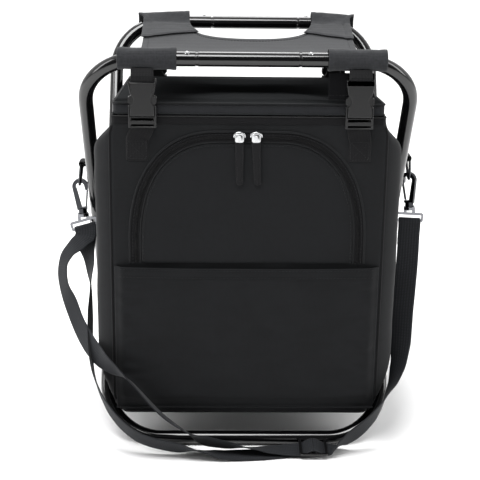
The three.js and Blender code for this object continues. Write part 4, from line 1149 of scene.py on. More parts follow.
        mesh = new_mesh()
        cloth_grid(mesh, 30, 84, place, (abs(inner - outer), 146.0))
        Piece(
            f"seat_sleeve_{self.name}_{label}", mesh, HEATHER, slot="seat_cloth", replaces=("seat",),
            thick=1.3, levels=1, blend=self.bend, outward=spot(outer, self.sign * DEPTH, RAIL_Z),
        ).settle()
        mesh = new_mesh()
        lift = Vector((0, 0, 0.45 * MM))
        for share in (0.048, 0.018):
            sew(mesh, [place(0.06 + 0.88 * i / 30, share) + lift for i in range(31)], UP, pitch=3.4)
        Piece(
            f"sleeve_stitches_{self.name}_{label}", mesh, THREAD, slot="seat_cloth", blend=self.bend
        ).settle()

    def build(self) -> None:
        """Makes the panel and both sleeves."""
        self.panel()
        self.sleeve("left", self.left[0], self.left[1])
        self.sleeve("right", self.right[1], self.right[0])


@dataclass
class Flap:
    """The hemmed tab of cloth that hangs from the front sleeve behind the right hanger."""

    left: float = 79.0
    right: float = 125.0
    foot: float = 383.2
    top: float = 410.6
    front: float = -142.35

    def build(self) -> None:
        """Makes the flap and its hem."""

        def place(u: float, v: float) -> Vector:
            """A point of the tab, a little wavy towards its foot."""
            x = self.left + (self.right - self.left) * u
            z = self.foot + (self.top - self.foot) * v
            loose = 1 - v
            return spot(x, self.front + 0.28 * math.sin(u * 9 + 1) * loose, z + 0.5 * math.sin(u * 7) * loose)

        mesh = new_mesh()
        cloth_grid(mesh, 24, 16, place, (46.0, 28.0))
        # The tab's darker cloth is a painted shade behind the hanger.
        thing = Piece(
            "hanger_flap_cloth", mesh, SHADED_TAB_CLOTH, "outer_hoop_body", "seat_cloth", ("hanger_flap",),
            thick=0.8, offset=0.0, levels=1,
        ).settle()
        mesh = new_mesh()
        path = [place(i / 24, 0.16) + Vector((0, -0.5 * MM, 0)) for i in range(25)]
        sew(mesh, path, TO_FRONT, pitch=3.4, thick=0.6)
        Piece("hanger_flap_stitches", mesh, THREAD, "outer_hoop_body", "seat_cloth").settle()


# Bag.

FRONT = -141.0
REAR = 130.0
HALF_WIDTH = 138.0
BOTTOM = 38.0
RIM_FRONT = 366.0
RIM_REAR = 348.0
CORNER = 5.0
MIDDLE = (FRONT + REAR) / 2


def rim_z(y: float) -> float:
    """Height of the bag's rim at a place from front to rear."""
    return RIM_FRONT + (RIM_REAR - RIM_FRONT) * (y - FRONT) / (REAR - FRONT)


def half_at(y: float, z: float) -> float:
    """Half of the bag's width: it swells in front of and behind the legs and draws in at its foot."""
    leg = abs(z - PIVOT_Z) * math.tan(LEG_TILT) + 16.0
    face = -FRONT if y < 0 else REAR
    swell = 20.0 * min(
        eased((abs(y) - leg) / 24.0),
        eased((face - abs(y)) / 24.0 + 0.22),
        eased((rim_z(y) - 9.5 - z) / 26.0),
        eased((z - BOTTOM) / 50.0),
    )
    return HALF_WIDTH + swell - 6.0 * (1 - eased((z - BOTTOM) / 22.0))


def footprint(half: float, front: float, rear: float, corner: float) -> Outline:
    """A rounded rectangle seen from above, with points close enough for cloth.

    Args:
        half: Half of its width.
        front: y of its front.
        rear: y of its rear.
        corner: Radius of its corners.

    Returns:
        Points (x, y) in millimetres.
    """
    side = half - corner
    found = line((-side, front), (side, front), 38)
    found += arc((side, front + corner), (corner, corner), -90, 0, 3)[:-1]
    found += line((half, front + corner), (half, rear - corner), 38)
    found += arc((side, rear - corner), (corner, corner), 0, 90, 3)[:-1]
    found += line((side, rear), (-side, rear), 38)
    found += arc((-side, rear - corner), (corner, corner), 90, 180, 3)[:-1]
    found += line((-half, rear - corner), (-half, front + corner), 38)
    found += arc((-side, front + corner), (corner, corner), 180, 270, 3)[:-1]
    return found


@dataclass
class Bag:
    """The insulated bag: its outer cloth, foam, silver lining and the piping along its edges."""

    piping: float = 1.4

    def wall(self, x: float, y: float, z: float, nx: float, ny: float) -> Vector:
        """A point of the outer cloth, creased as cloth over foam is.

        Args:
            x: Place on the footprint, across.
            y: Place on the footprint, from front to rear.
            z: Height.
            nx: The way the wall faces, across.
            ny: The way the wall faces, from front to rear.

        Returns:
            The place, in metres.
        """
        half = half_at(y, z)
        folds = 0.9 * ripple(x, y, z, 60, 1.0) + 0.5 * ripple(x, y * 1.3, z * 2.4, 24, 4.0)
        side = abs(nx)
        low = groove(z - 60, 26)
        sag = 1.1 * low * ripple(x * 0.6, y * 0.6, z * 3.0, 20, 8.0)
        depth = (folds * 1.5 + sag * 1.6) * side - (0.55 + 0.45 * folds) * abs(ny)
        if side > 0.5:
            leg = abs(z - PIVOT_Z) * math.tan(LEG_TILT)
            depth -= 0.9 * groove(abs(y) - leg, 20.0)
        return spot(x * half / HALF_WIDTH + nx * depth, y + ny * depth, z)

    def shell(self) -> None:
        """Makes the outer cloth with its bottom."""
        base = footprint(HALF_WIDTH, FRONT, REAR, CORNER)
        count = len(base)
        facing: Outline = []
        for i in range(count):
            before, after = base[i - 1], base[(i + 1) % count]
            out = Vector((after[1] - before[1], before[0] - after[0], 0)).normalized()
            facing.append((out.x, out.y))
        rings: list[list[Vector]] = []
        for share in (0.0, 0.3, 0.6, 0.85, 0.96):
            ring = []
            for x, y in base:
                sag = 0.7 * ripple(x * share, y * share, 0, 50)
                ring.append(spot(x * share * 0.957, MIDDLE + (y - MIDDLE) * share, BOTTOM + sag))
            rings.append(ring)
        steps = 44
        for row in range(steps + 1):
            share = row / steps
            ring = []
            for (x, y), (nx, ny) in zip(base, facing):
                z = BOTTOM + (rim_z(y) - BOTTOM) * share
                ring.append(self.wall(x, y, z, nx, ny))
            rings.append(ring)
        mesh = new_mesh()
        loft(mesh, rings)
        thing = Piece(
            "bag_cloth_shell", mesh, CHARCOAL, slot="bag_cloth", replaces=("bag_shell",),
            thick=1.2, levels=1, outward=spot(HALF_WIDTH, 0, 60),
        ).settle()

    def lining(self) -> None:
        """Makes the foam and the silver liner, each an open box a little smaller than the last."""
        for name, finish, slot, inset, floor, thick, node in (
            ("bag_foam_sheet", FOAM, "foam", 3.2, 41.2, 3.6, "foam_lining"),
            ("bag_silver_liner", FILM, "liner", 7.6, 48.8, 0.7, "bag_liner"),
        ):
            base = footprint(HALF_WIDTH - inset, FRONT + inset, REAR - inset, CORNER)
            rings = [
                [spot(x * share, MIDDLE + (y - MIDDLE) * share, floor) for x, y in base]
                for share in (0.0, 0.5, 0.85, 0.93)
            ]
            for row in range(15):
                share = row / 14
                ring = []
                for x, y in base:
                    z = floor + (rim_z(y) - 0.6 - floor) * share
                    tuck = (half_at(0, z) - HALF_WIDTH) / HALF_WIDTH
                    crease = 0.8 * ripple(x, y, z, 30, inset) if row < 14 else 0.0
                    ring.append(spot(x * (1 + tuck) * (1 - abs(crease) * 0.004), y + crease * 0.3, z))
                rings.append(ring)
            mesh = new_mesh()
            loft(mesh, rings)
            Piece(
                name, mesh, finish, slot=slot, replaces=(node,), thick=thick, levels=1,
                outward=spot(HALF_WIDTH, 0, 60),
            ).settle()

    def edges(self) -> None:
        """Makes the piping at the four upright edges and round the bottom."""
        mesh = new_mesh()
        for y, out in ((FRONT, -1), (REAR, 1)):
            for side in (-1, 1):
                path = []
                for i in range(40):
                    z = 42.0 + (rim_z(y) - 11.0 - 42.0) * i / 39
                    half = half_at(y, z)
                    path.append(spot(side * (half + 0.5), y - out * 1.2, z))
                sweep(mesh, path, self.piping, sides=8)
        ring = footprint(HALF_WIDTH, FRONT, REAR, CORNER)
        path = [spot(x * half_at(y, BOTTOM + 3.5) / HALF_WIDTH, y, BOTTOM + 3.0) for x, y in ring]
        middle = spot(0, MIDDLE, BOTTOM + 3.0)
        inward = [place + (middle - place).normalized() * (0.6 * MM) for place in path]
        sweep(mesh, inward, self.piping, sides=8, closed=True)
        Piece("bag_piping", mesh, TAPE, slot="bag_cloth").settle()

    def build(self) -> None:
        """Makes the bag without its lid and pockets."""
        self.shell()
        self.lining()
        self.edges()
        repaint("base_board", BOARD)


@dataclass
class Lid:
    """The soft lid: cloth over foam, deeper in front, with the zip round it."""

    half: float = 137.7
    edge: float = 12.0
    drop: float = 3.0

    def top_z(self, x: float, y: float) -> float:
        """Height of the lid's top at a place."""
        v = (y - FRONT) / (REAR - FRONT)
        round_off = max(abs(x) / self.half, abs(2 * v - 1))
        crown = 2.0 * (1 - min(round_off, 1.0) ** 6)
        return rim_z(y) + 0.3 + self.edge - self.drop * v + crown

    def build(self) -> None:
        """Makes the lid, its piping, its zip and the slider."""
        base = footprint(self.half, FRONT, REAR, 6.0)
        mesh = new_mesh()
        rings: list[list[Vector]] = []

        def ring(share: float, height: float, inset: float = 0.0, top: bool = False) -> list[Vector]:
            """A ring of the lid, at a share of its plan and at a share of its edge's height or on its top."""
            found = []
            for x, y in base:
                reach = share - inset / self.half
                px, py = x * reach, MIDDLE + (y - MIDDLE) * reach
                low = rim_z(py) + 0.3
                if top:
                    dimple = 1.1 * ripple(px, py, 0, 55, 2.0) + 0.5 * ripple(px, py * 2, 0, 18, 6.0)
                    high = self.top_z(px, py) + (dimple - 0.6) * (1 - share**8)
                else:
                    edge = self.edge - self.drop * (py - FRONT) / (REAR - FRONT)
                    high = low + edge * height
                found.append(spot(px, py, high))
            return found

        for share in (0.0, 0.4, 0.8, 0.97):
            rings.append(ring(share, 0.0))
        for height, inset in ((0.0, 0.8), (0.08, 0.1), (0.5, 0.3), (0.88, 0.1), (0.98, 0.9)):
            rings.append(ring(1.0, height, inset))
        for share in (0.985, 0.96, 0.92, 0.86, 0.78, 0.68, 0.56, 0.44, 0.32, 0.2, 0.1, 0.0):
            rings.append(ring(share, 1.0, top=True))
        loft(mesh, rings)
        thing = Piece(
            "lid_cloth", mesh, LIT_BAND_CLOTH, "lid_body", "bag_cloth", ("lid",), levels=1, crease=60
        ).settle()
        # The top's faces take the darker copy of the cloth, a painted shade; the band and the rest keep the
        # lighter copy, a painted light.
        thing.data.materials.append(dressed(SHADED_LID_CLOTH))
        for face in thing.data.polygons:
            low = rim_z(face.center.y / MM - BACK) * MM
            face.material_index = 1 if face.center.z > low + (self.edge - self.drop) * 0.98 * MM else 0
        mesh = new_mesh()
        sweep(mesh, ring(1.0, 0.97, 0.5), 1.2, sides=8, closed=True)
        Piece("lid_piping", mesh, CHARCOAL, "lid_body", "bag_cloth").settle()
        # The piping at the lid's foot wears the darker copy of the cloth too: a painted shade line under the
        # band.
        mesh = new_mesh()
        sweep(mesh, ring(1.0, 0.1, 0.5), 0.9, sides=8, closed=True)
        Piece("lid_foot_piping", mesh, SHADED_LID_CLOTH, "lid_body", "bag_cloth").settle()
        mesh = new_mesh()
        path = [place + Vector((0, -0.25 * MM, 0)) for place in ring(1.0, 0.8, -0.1)[:39]]
        sew(mesh, path, TO_FRONT, pitch=3.4, thick=0.6)
        Piece("lid_stitches", mesh, THREAD, "lid_body", "bag_cloth").settle()
        self.zip()

    def zip(self) -> None:
        """Makes the zip's tape below the lid and its spiral between them."""
        reach = REAR - 20.0
        out = HALF_WIDTH + 0.9
        plan = line((-out, reach), (-out, FRONT + 4), 30)
        plan += arc((-out + 4.6, FRONT + 3.6), (4.6, 4.6), 180, 270, 4)
        plan += line((-out + 6, FRONT - 1.0), (out - 6, FRONT - 1.0), 44)
        plan += arc((out - 4.6, FRONT + 3.6), (4.6, 4.6), -90, 0, 4)
        plan += line((out, FRONT + 6), (out, reach), 30)
        mesh = new_mesh()
        rows = []
        for height in (-9.0, -8.4, -4.5, -1.2, -0.5):
            puff = 0.25 if -8.5 < height < -1 else 0.0
            row = []
            for x, y in plan:
                push = (x / abs(x)) * puff if abs(x) > out - 1 else 0.0
                row.append(spot(x + push, y - (puff if y < FRONT else 0.0), rim_z(y) + height))
            rows.append(row)
        made = [[mesh.verts.new(place) for place in row] for row in rows]
        for near, far in zip(made, made[1:]):
            for i in range(len(plan) - 1):
                mesh.faces.new((near[i], near[i + 1], far[i + 1], far[i]))
        Piece(
            "lid_zip_tape", mesh, TAPE, slot="zip_tape", replaces=("lid_zip",), thick=0.5, levels=1,
            outward=spot(out + 20, FRONT - 20, 360),
        ).settle()
        mesh = new_mesh()
        sweep(mesh, [spot(x, y, rim_z(y) - 0.9) for x, y in plan], 0.75, sides=6)
        Piece("lid_zip_spiral", mesh, SPIRAL, slot="zip_tape").settle()
        eased_copy("lid_slider", BRIGHT, 0.7, "nickel")


# Pockets.

ARCH_HALF = 121.0
ARCH_FOOT = 210.0
ARCH_SPRING = 232.0
ARCH_TOP = 349.0
ARCH_FLAT = 31.0
ARCH_SQUARE = 0.87  # below one, the corners are fuller than an ellipse's
DOOR_MIDDLE = 262.0


def arch(offset: float, foot: float = ARCH_FOOT) -> Outline:
    """The pocket's arch, grown or drawn in by an offset, from its right foot over to its left.

    Args:
        offset: Millimetres outwards.
        foot: Height of its foot.

    Returns:
        Points (x, z).
    """
    half, top = ARCH_HALF + offset, ARCH_TOP + offset
    across, up = half - ARCH_FLAT, top - ARCH_SPRING
    corner: Outline = []
    for i in range(25):
        turn = math.pi / 2 * i / 24
        x = across * math.cos(turn) ** ARCH_SQUARE
        corner.append((ARCH_FLAT + x, ARCH_SPRING + up * math.sin(turn) ** ARCH_SQUARE))
    found = line((half, foot), (half, ARCH_SPRING), 4)
    found += corner
    found += line((ARCH_FLAT, top), (-ARCH_FLAT, top), 12)[1:]
    found += [(-x, z) for x, z in reversed(corner)]
    found += line((-half, ARCH_SPRING), (-half, foot), 4)[1:]
    found.append((-half, foot))
    return found


@dataclass
class ArchPocket:
    """The arched pocket: door, tape, spiral, piping, two bright sliders and their pulls."""

    back: float = FRONT - 0.3

    def door(self) -> None:
        """Makes the door, a padded panel that is fuller at the top."""
        base = arch(-11.6)
        foot_row = line((base[-1][0], ARCH_FOOT), (base[0][0], ARCH_FOOT), 30)[1:]
        outline = base + foot_row
        rings: list[list[Vector]] = []
        edge = ((0.0, 0.0), (0.6, 0.0), (0.985, 0.0), (1.0, 0.35), (1.0, 1.3), (0.985, 1.9), (0.955, 2.15))
        face_rings = tuple((share, 2.2) for share in (0.9, 0.82, 0.73, 0.63, 0.52, 0.4, 0.27, 0.13, 0.0))
        for share, out in edge + face_rings:
            ring = []
            for x, z in outline:
                px, pz = x * share, DOOR_MIDDLE + (z - DOOR_MIDDLE) * share
                wave = 0.0
                if out > 1.8:
                    wave = 0.45 * ripple(px, 0, pz, 42, 7.0)
                    wave += 0.3 * ripple(px * 0.6, 0, pz * 2.2, 20, 9.0) - 0.12
                ring.append(spot(px, self.back - out - wave, pz))
            rings.append(ring)
        mesh = new_mesh()
        loft(mesh, rings)
        thing = Piece(
            "pocket_door_cloth", mesh, POCKET_CLOTH, slot="bag_cloth", replaces=("pocket_door",),
            levels=1, crease=60,
        ).settle()

    def band(self) -> None:
        """Makes the tape round the door, its spiral, the piping on both sides and the stitches."""
        mesh = new_mesh()
        layer = mesh.loops.layers.uv.verify()
        offsets = (0.2, -0.6, -3.8, -5.6, -7.4, -10.6, -11.2)
        rises = (0.15, 0.75, 0.85, 0.35, 0.85, 0.75, 0.15)
        rows = [
            [mesh.verts.new(spot(x, self.back - rise, z)) for x, z in arch(offset)]
            for offset, rise in zip(offsets, rises)
        ]
        for near, far in zip(rows, rows[1:]):
            for i in range(len(near) - 1):
                face = mesh.faces.new((near[i], near[i + 1], far[i + 1], far[i]))
                for loop in face.loops:
                    loop[layer].uv = (loop.vert.co.x, loop.vert.co.z)
        Piece(
            "pocket_zip_tape", mesh, TAPE, slot="zip_tape", replaces=("pocket_zip",), thick=0.5, levels=1,
            outward=spot(0, -300, 300),
        ).settle()
        mesh = new_mesh()
        coil(mesh, [spot(x, self.back - 0.75, z) for x, z in arch(-5.6)], TO_FRONT, 1.15, 1.5)
        Piece("pocket_zip_spiral", mesh, SPIRAL, slot="zip_tape").settle()
        mesh = new_mesh()
        for offset, radius in ((0.9, 1.15), (-10.3, 0.85)):
            sweep(mesh, [spot(x, self.back - 0.75, z) for x, z in arch(offset)], radius, sides=8)
        Piece("pocket_piping", mesh, CHARCOAL, slot="bag_cloth").settle()
        mesh = new_mesh()
        for offset, lift in ((4.6, -0.15), (-2.2, 0.95), (-13.6, 2.35)):
            path = [spot(x, self.back - lift, z) for x, z in arch(offset)]
            sew(mesh, path, TO_FRONT, pitch=3.6, thick=0.7)
        Piece("pocket_stitches", mesh, THREAD, slot="bag_cloth").settle()

    def pull(self, side: str, x: float, lean: float) -> None:
        """Makes a folded tape pull with its stitched border.

        Args:
            side: left or right.
            x: Its middle.
            lean: How far its tip hangs to the right, in millimetres.
        """
        node, body = f"pocket_pull_{side}", f"{side}_pull_body"
        low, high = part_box(node)
        front, back = low.y / MM - BACK, high.y / MM - BACK
        top, foot = high.z / MM, low.z / MM
        wide, tip = 4.6, 3.5  # half widths at the top and at the round tip
        outline: Outline = [(x - wide, top), (x - tip + lean, foot + tip)]
        outline += arc((x + lean, foot + tip), (tip, tip), 180, 360, 8)[1:]
        outline += [(x + tip + lean, foot + tip), (x + wide, top)]
        mesh = new_mesh()
        slab(mesh, outline, front + 0.1, back - 0.05, bevel=0.5)
        Piece(f"{node}_tape", mesh, PULL, body, "zip_tape", (node,)).settle()
        mesh = new_mesh()
        inner = [(x - 3.3, top - 3), (x - 2.3 + lean, foot + 4)]
        inner += [(x + 2.3 + lean, foot + 4), (x + 3.3, top - 3)]
        for a, b in zip(inner, inner[1:] + inner[:1]):
            path = [spot(px, front + 0.05, pz) for px, pz in line(a, b, 12) + [b]]
            sew(mesh, path, TO_FRONT, pitch=2.6, thick=0.5)
        Piece(f"{node}_stitches", mesh, THREAD, body, "zip_tape").settle()

    def slider(self, side: str) -> None:
        """Makes a slider and the bridge over it that its pull hangs from.

        Args:
            side: left or right.
        """
        eased_copy(f"pocket_slider_{side}", BRIGHT, 0.7, "nickel")
        low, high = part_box(f"pocket_slider_{side}")
        x, z = (low.x + high.x) / 2 / MM - ASIDE, high.z / MM - 1.6
        y = low.y / MM - BACK
        path = [spot(px, y, pz) for px, pz in arc((x, z), (5.6, 3.6), -20, 200, 16)]
        mesh = new_mesh()
        sweep(mesh, path, 0.9, sides=10)
        Piece(f"pocket_slider_{side}_bridge", mesh, BRIGHT, f"{side}_slider_body", "nickel").settle()

    def build(self) -> None:
        """Makes the whole pocket."""
        self.door()
        self.band()
        for side in ("left", "right"):
            self.slider(side)
        self.pull("left", -9.5, 0.7)
        self.pull("right", 7.5, 2.1)


@dataclass
class SlipPocket:
    """The open pocket across the foot of the bag: one hemmed panel that stands off a little at its mouth."""

    half: float = 138.6
    foot: float = 46.3
    top: float = 206.8
    depth: float = 6.6

    def place(self, u: float, v: float) -> Vector:
        """A point of the panel's outer face."""
        x = self.half * (2 * u - 1)
        z = self.foot + (self.top - self.foot) * v
        side = eased((self.half - abs(x)) / 9.0)
        low = eased((z - self.foot) / 16.0)
        sag = 0.9 * (1 - (x / self.half) ** 2) * eased((v - 0.55) / 0.45)
        full = self.depth * side * low
        creases = 1.3 * ripple(x, 0, z, 52, 11.0) + 0.55 * ripple(x * 0.5, 0, z * 2.0, 22, 13.0)
        pinch = 1.6 * groove(self.half - abs(x), 34) * ripple(x * 0.4, 0, z * 1.7, 15, 17.0)
        out = full - (0.9 + 0.65 * creases + pinch) * side * low
        under = self.top - z
        hem = 0.4 * (1 - eased((under - 11.0) / 1.5)) - 0.45 * groove(under - 12.4, 1.0)
        return spot(x, FRONT - 0.9 - max(min(out + hem, self.depth), 0.35), z - sag * v * 1.6)

    def build(self) -> None:
        """Makes the panel with its hem stitches and the piping at its foot."""
        mesh = new_mesh()
        cloth_grid(mesh, 92, 60, self.place, (277.0, 160.0))
        thing = Piece(
            "slip_pocket_cloth", mesh, POCKET_CLOTH, slot="bag_cloth", replaces=("slip_pocket",),
            thick=0.9, levels=1, outward=spot(0, -300, 120),
        ).settle()
        mesh = new_mesh()
        for drop in (10.6, 2.6):
            share = 1 - drop / (self.top - self.foot)
            path = [self.place(0.02 + 0.96 * i / 90, share) + Vector((0, -0.3 * MM, 0)) for i in range(91)]
            sew(mesh, path, TO_FRONT, pitch=3.6, thick=0.65)
        Piece("slip_pocket_stitches", mesh, THREAD, slot="bag_cloth").settle()
        mesh = new_mesh()
        path = [spot(self.half * (2 * i / 60 - 1), FRONT - 1.2, self.foot - 0.6) for i in range(61)]
        sweep(mesh, path, 1.2, sides=8)
        Piece("slip_pocket_piping", mesh, CHARCOAL, slot="bag_cloth").settle()


# Hangers.

WEB = 23.0
HANGER_FOOT = 355.0
PATCH_TOP = 343.0
PATCH_LONG = 24.0


@dataclass
class Hanger:
    """A corner's webbing: a loop from the sleeve, a side-release buckle and a tail sewn on the bag.

    Args:
        name: front_left and so on, as in the CAD.
        x: Middle of the buckle, across.
        patch_x: Middle of the sewn patch.
        front: Whether it hangs in front of the bag.
    """

    name: str
    x: float
    patch_x: float
    front: bool

    @property
    def foot(self) -> float:
        """Height of the buckle's foot."""
        return HANGER_FOOT - (0.0 if self.front else 18.0)

    @property
    def out(self) -> int:
        """-1 in front, 1 behind."""
        return -1 if self.front else 1

    @property
    def mid(self) -> float:
        """y of the buckle's middle."""
        return FRONT - 7.0 if self.front else REAR + 7.0

    def upper(self) -> None:
        """Makes the loop of webbing that the socket hangs in."""
        rail = -145.2 if self.front else 135.5
        top = 412.3 if self.front else 402.6
        hoop = "outer_hoop_body" if self.front else "inner_hoop_body"
        side = self.out
        bar, above = self.foot + 48.9, self.foot + 52  # middle of the turn round the socket's bar
        apart = 2.7  # from the middle of the buckle to each leg of the loop
        route = [spot(self.x, rail + side * 1.1, top + 2.0)]
        route.append(spot(self.x, self.mid + side * apart, above))
        for y, z in arc((self.mid, bar), (apart, 2.5), 0, -180, 10):
            route.append(spot(self.x, self.mid + side * (y - self.mid), z))
        route.append(spot(self.x, self.mid - side * apart, above))
        route.append(spot(self.x, rail - side * 1.1, top + 1.0))
        places = spaced(route, 44)
        mesh = new_mesh()
        strip(mesh, places, [ACROSS] * len(places), WEB, columns=4)
        Piece(
            f"{self.name}_loop_webbing", mesh, WEBBING, slot="webbing",
            replaces=(f"{self.name}_upper_webbing",),
            thick=1.4, offset=0.0, levels=1, crease=50, turn_out=False,
            blend=(hoop, "bag_body", spot(0, 0, top - 3), spot(0, 0, top - 3) - UP * (14 * MM)),
        ).settle()

    def lower(self) -> None:
        """Makes the tail behind the plug and its patch, sewn to the bag with a box stitch."""
        face = (FRONT if self.front else REAR) + self.out * 1.1
        behind = self.mid - self.out * 4.2
        patch_top = PATCH_TOP - (HANGER_FOOT - self.foot)
        patch_foot = patch_top - PATCH_LONG
        corners = [
            spot(self.x, behind, self.foot + 9), spot(self.x, behind, self.foot - 3),
            spot(self.patch_x + (self.x - self.patch_x) * 0.2, face + self.out * 0.4, patch_top + 2),
            spot(self.patch_x, face, patch_top - 2), spot(self.patch_x, face, patch_foot),
        ]
        places = spaced(corners, 26)
        mesh = new_mesh()
        strip(mesh, places, [ACROSS] * len(places), WEB, columns=4)
        Piece(
            f"{self.name}_tail_webbing", mesh, WEBBING, slot="webbing",
            replaces=(f"{self.name}_lower_webbing",),
            thick=1.3, offset=0.0, levels=1, crease=50, turn_out=False,
        ).settle()
        mesh = new_mesh()
        out = Vector((0, self.out, 0))
        y = face + self.out * 0.75
        left, right = self.patch_x - WEB / 2 + 2.2, self.patch_x + WEB / 2 - 2.2
        high, low = patch_top - 3.4, patch_foot + 2.4
        runs = [(left, high, right, high), (right, high, right, low), (right, low, left, low)]
        runs += [(left, low, left, high), (left, high, right, low), (left, low, right, high)]
        for x0, z0, x1, z1 in runs:
            sew(mesh, [spot(x, y, z) for x, z in line((x0, z0), (x1, z1), 6) + [(x1, z1)]], out, pitch=2.9)
        Piece(f"{self.name}_patch_stitches", mesh, THREAD, slot="webbing").settle()

    def build(self) -> None:
        """Makes the hanger."""
        eased_copy(f"{self.name}_socket", ACETAL, 0.8, "buckle_plastic")
        eased_copy(f"{self.name}_plug", ACETAL, 0.5, "buckle_plastic")
        if self.front:
            for side in "lr":
                eased_copy(f"{self.name}_prong_{side}", ACETAL, 0.5, "buckle_plastic")
        self.upper()
        self.lower()


# Shoulder strap and its hardware.

HOOK_Y = -22.0
EYE_X = 182.0  # where the D-ring's wire runs through its tab
TAB_WIDTH = 18.0


@dataclass
class StrapEnd:
    """One side's hardware: the tab on the bag, the D-ring and the swivel hook with its gate and loop.

    Args:
        name: left or right.
        sign: -1 left and 1 right.
        rise: Height of the tab above the pivot.
        lean: How far the ring leans out, in degrees.
    """

    name: str
    sign: int
    rise: float
    lean: float

    @property
    def z(self) -> float:
        """Height of the tab's middle."""
        return PIVOT_Z + self.rise

    def tab(self) -> None:
        """Makes the tab of webbing, folded round the ring and sewn."""
        z = self.z
        route = [(HALF_WIDTH + 0.6, z - 1.0), (160.0, z - 1.0), (171.0, z - 1.05), (177.5, z - 2.0)]
        route += [(EYE_X + px, z + pz) for px, pz in arc((0, 0), (2.75, 2.75), -105, 105, 14)]
        route += [(177.5, z + 2.0), (171.0, z + 1.05), (160.0, z + 1.0), (HALF_WIDTH + 0.6, z + 1.0)]
        places = spaced([spot(self.sign * x, HOOK_Y, pz) for x, pz in route], 52)
        mesh = new_mesh()
        strip(mesh, places, [-TO_FRONT] * len(places), TAB_WIDTH, columns=4)
        Piece(
            f"{self.name}_tab_webbing", mesh, WEBBING, slot="webbing", replaces=(f"{self.name}_ring_tab",),
            thick=1.5, offset=0.0, levels=1, crease=50, turn_out=False,
        ).settle()
        mesh = new_mesh()
        for reach in (166, 163):
            sew(mesh, [spot(self.sign * reach, HOOK_Y + 9 - i * 2.0, z + 2.0) for i in range(10)], UP, 2.8)
        Piece(f"{self.name}_tab_stitches", mesh, THREAD, slot="webbing").settle()

    def ring(self) -> None:
        """Bends the ring's wire into its D."""
        swing = Matrix.Translation(spot(self.sign * EYE_X, HOOK_Y, self.z))
        swing @= Matrix.Rotation(math.radians(-self.sign * self.lean), 4, "Y")
        path = []
        for a, b in arc((0, 0), (12.5, 25.5), 0, -180, 28):
            path.append(swing @ (Vector((0, a, b)) * MM))
        path += [swing @ (Vector((0, a, 0)) * MM) for a in (-8.0, -4.0, 0.0, 4.0, 8.0)]
        mesh = new_mesh()
        sweep(mesh, path, 1.45, sides=14, closed=True)
        body, node = f"{self.name}_ring_body", f"{self.name}_d_ring"
        Piece(f"{self.name}_wire_ring", mesh, NICKEL, body, "nickel", (node,)).settle()

    def build(self) -> None:
        """Makes the tab and the ring, and rounds the edges of the castings."""
        self.tab()
        self.ring()
        eased_copy(f"{self.name}_hook", NICKEL, 1.0, "nickel")
        eased_copy(f"{self.name}_gate", NICKEL, 0.5, "nickel")
        # The loop's brighter plating is a painted highlight for its flat bars' reflection.
        eased_copy(f"{self.name}_swivel_loop", HIGHLIT_LOOP, 0.6, "nickel")


def crossing(points: Sequence[Vector], i: int, t: float) -> Vector:
    """A point on the smooth line through a row of points, as the CAD's strap has it.

    Args:
        points: The row.
        i: Number of the run's first point.
        t: Share of the run.

    Returns:
        The point.
    """
    p1, p2 = points[i], points[i + 1]
    p0 = points[i - 1] if i > 0 else p1 * 2 - p2
    p3 = points[i + 2] if i + 2 < len(points) else p2 * 2 - p1
    d0, d1, d2 = ((b - a).length_squared ** 0.25 for a, b in ((p0, p1), (p1, p2), (p2, p3)))
    d1 = d1 if d1 > 1e-4 else 1.0
    d0 = d0 if d0 > 1e-4 else d1
    d2 = d2 if d2 > 1e-4 else d1
    t1 = ((p1 - p0) / d0 - (p2 - p0) / (d0 + d1) + (p2 - p1) / d1) * d1
    t2 = ((p2 - p1) / d1 - (p3 - p1) / (d1 + d2) + (p3 - p2) / d2) * d1
    a, b = t * t, t * t * t
    return p1 * (2 * b - 3 * a + 1) + t1 * (b - 2 * a + t) + p2 * (3 * a - 2 * b) + t2 * (b - a)


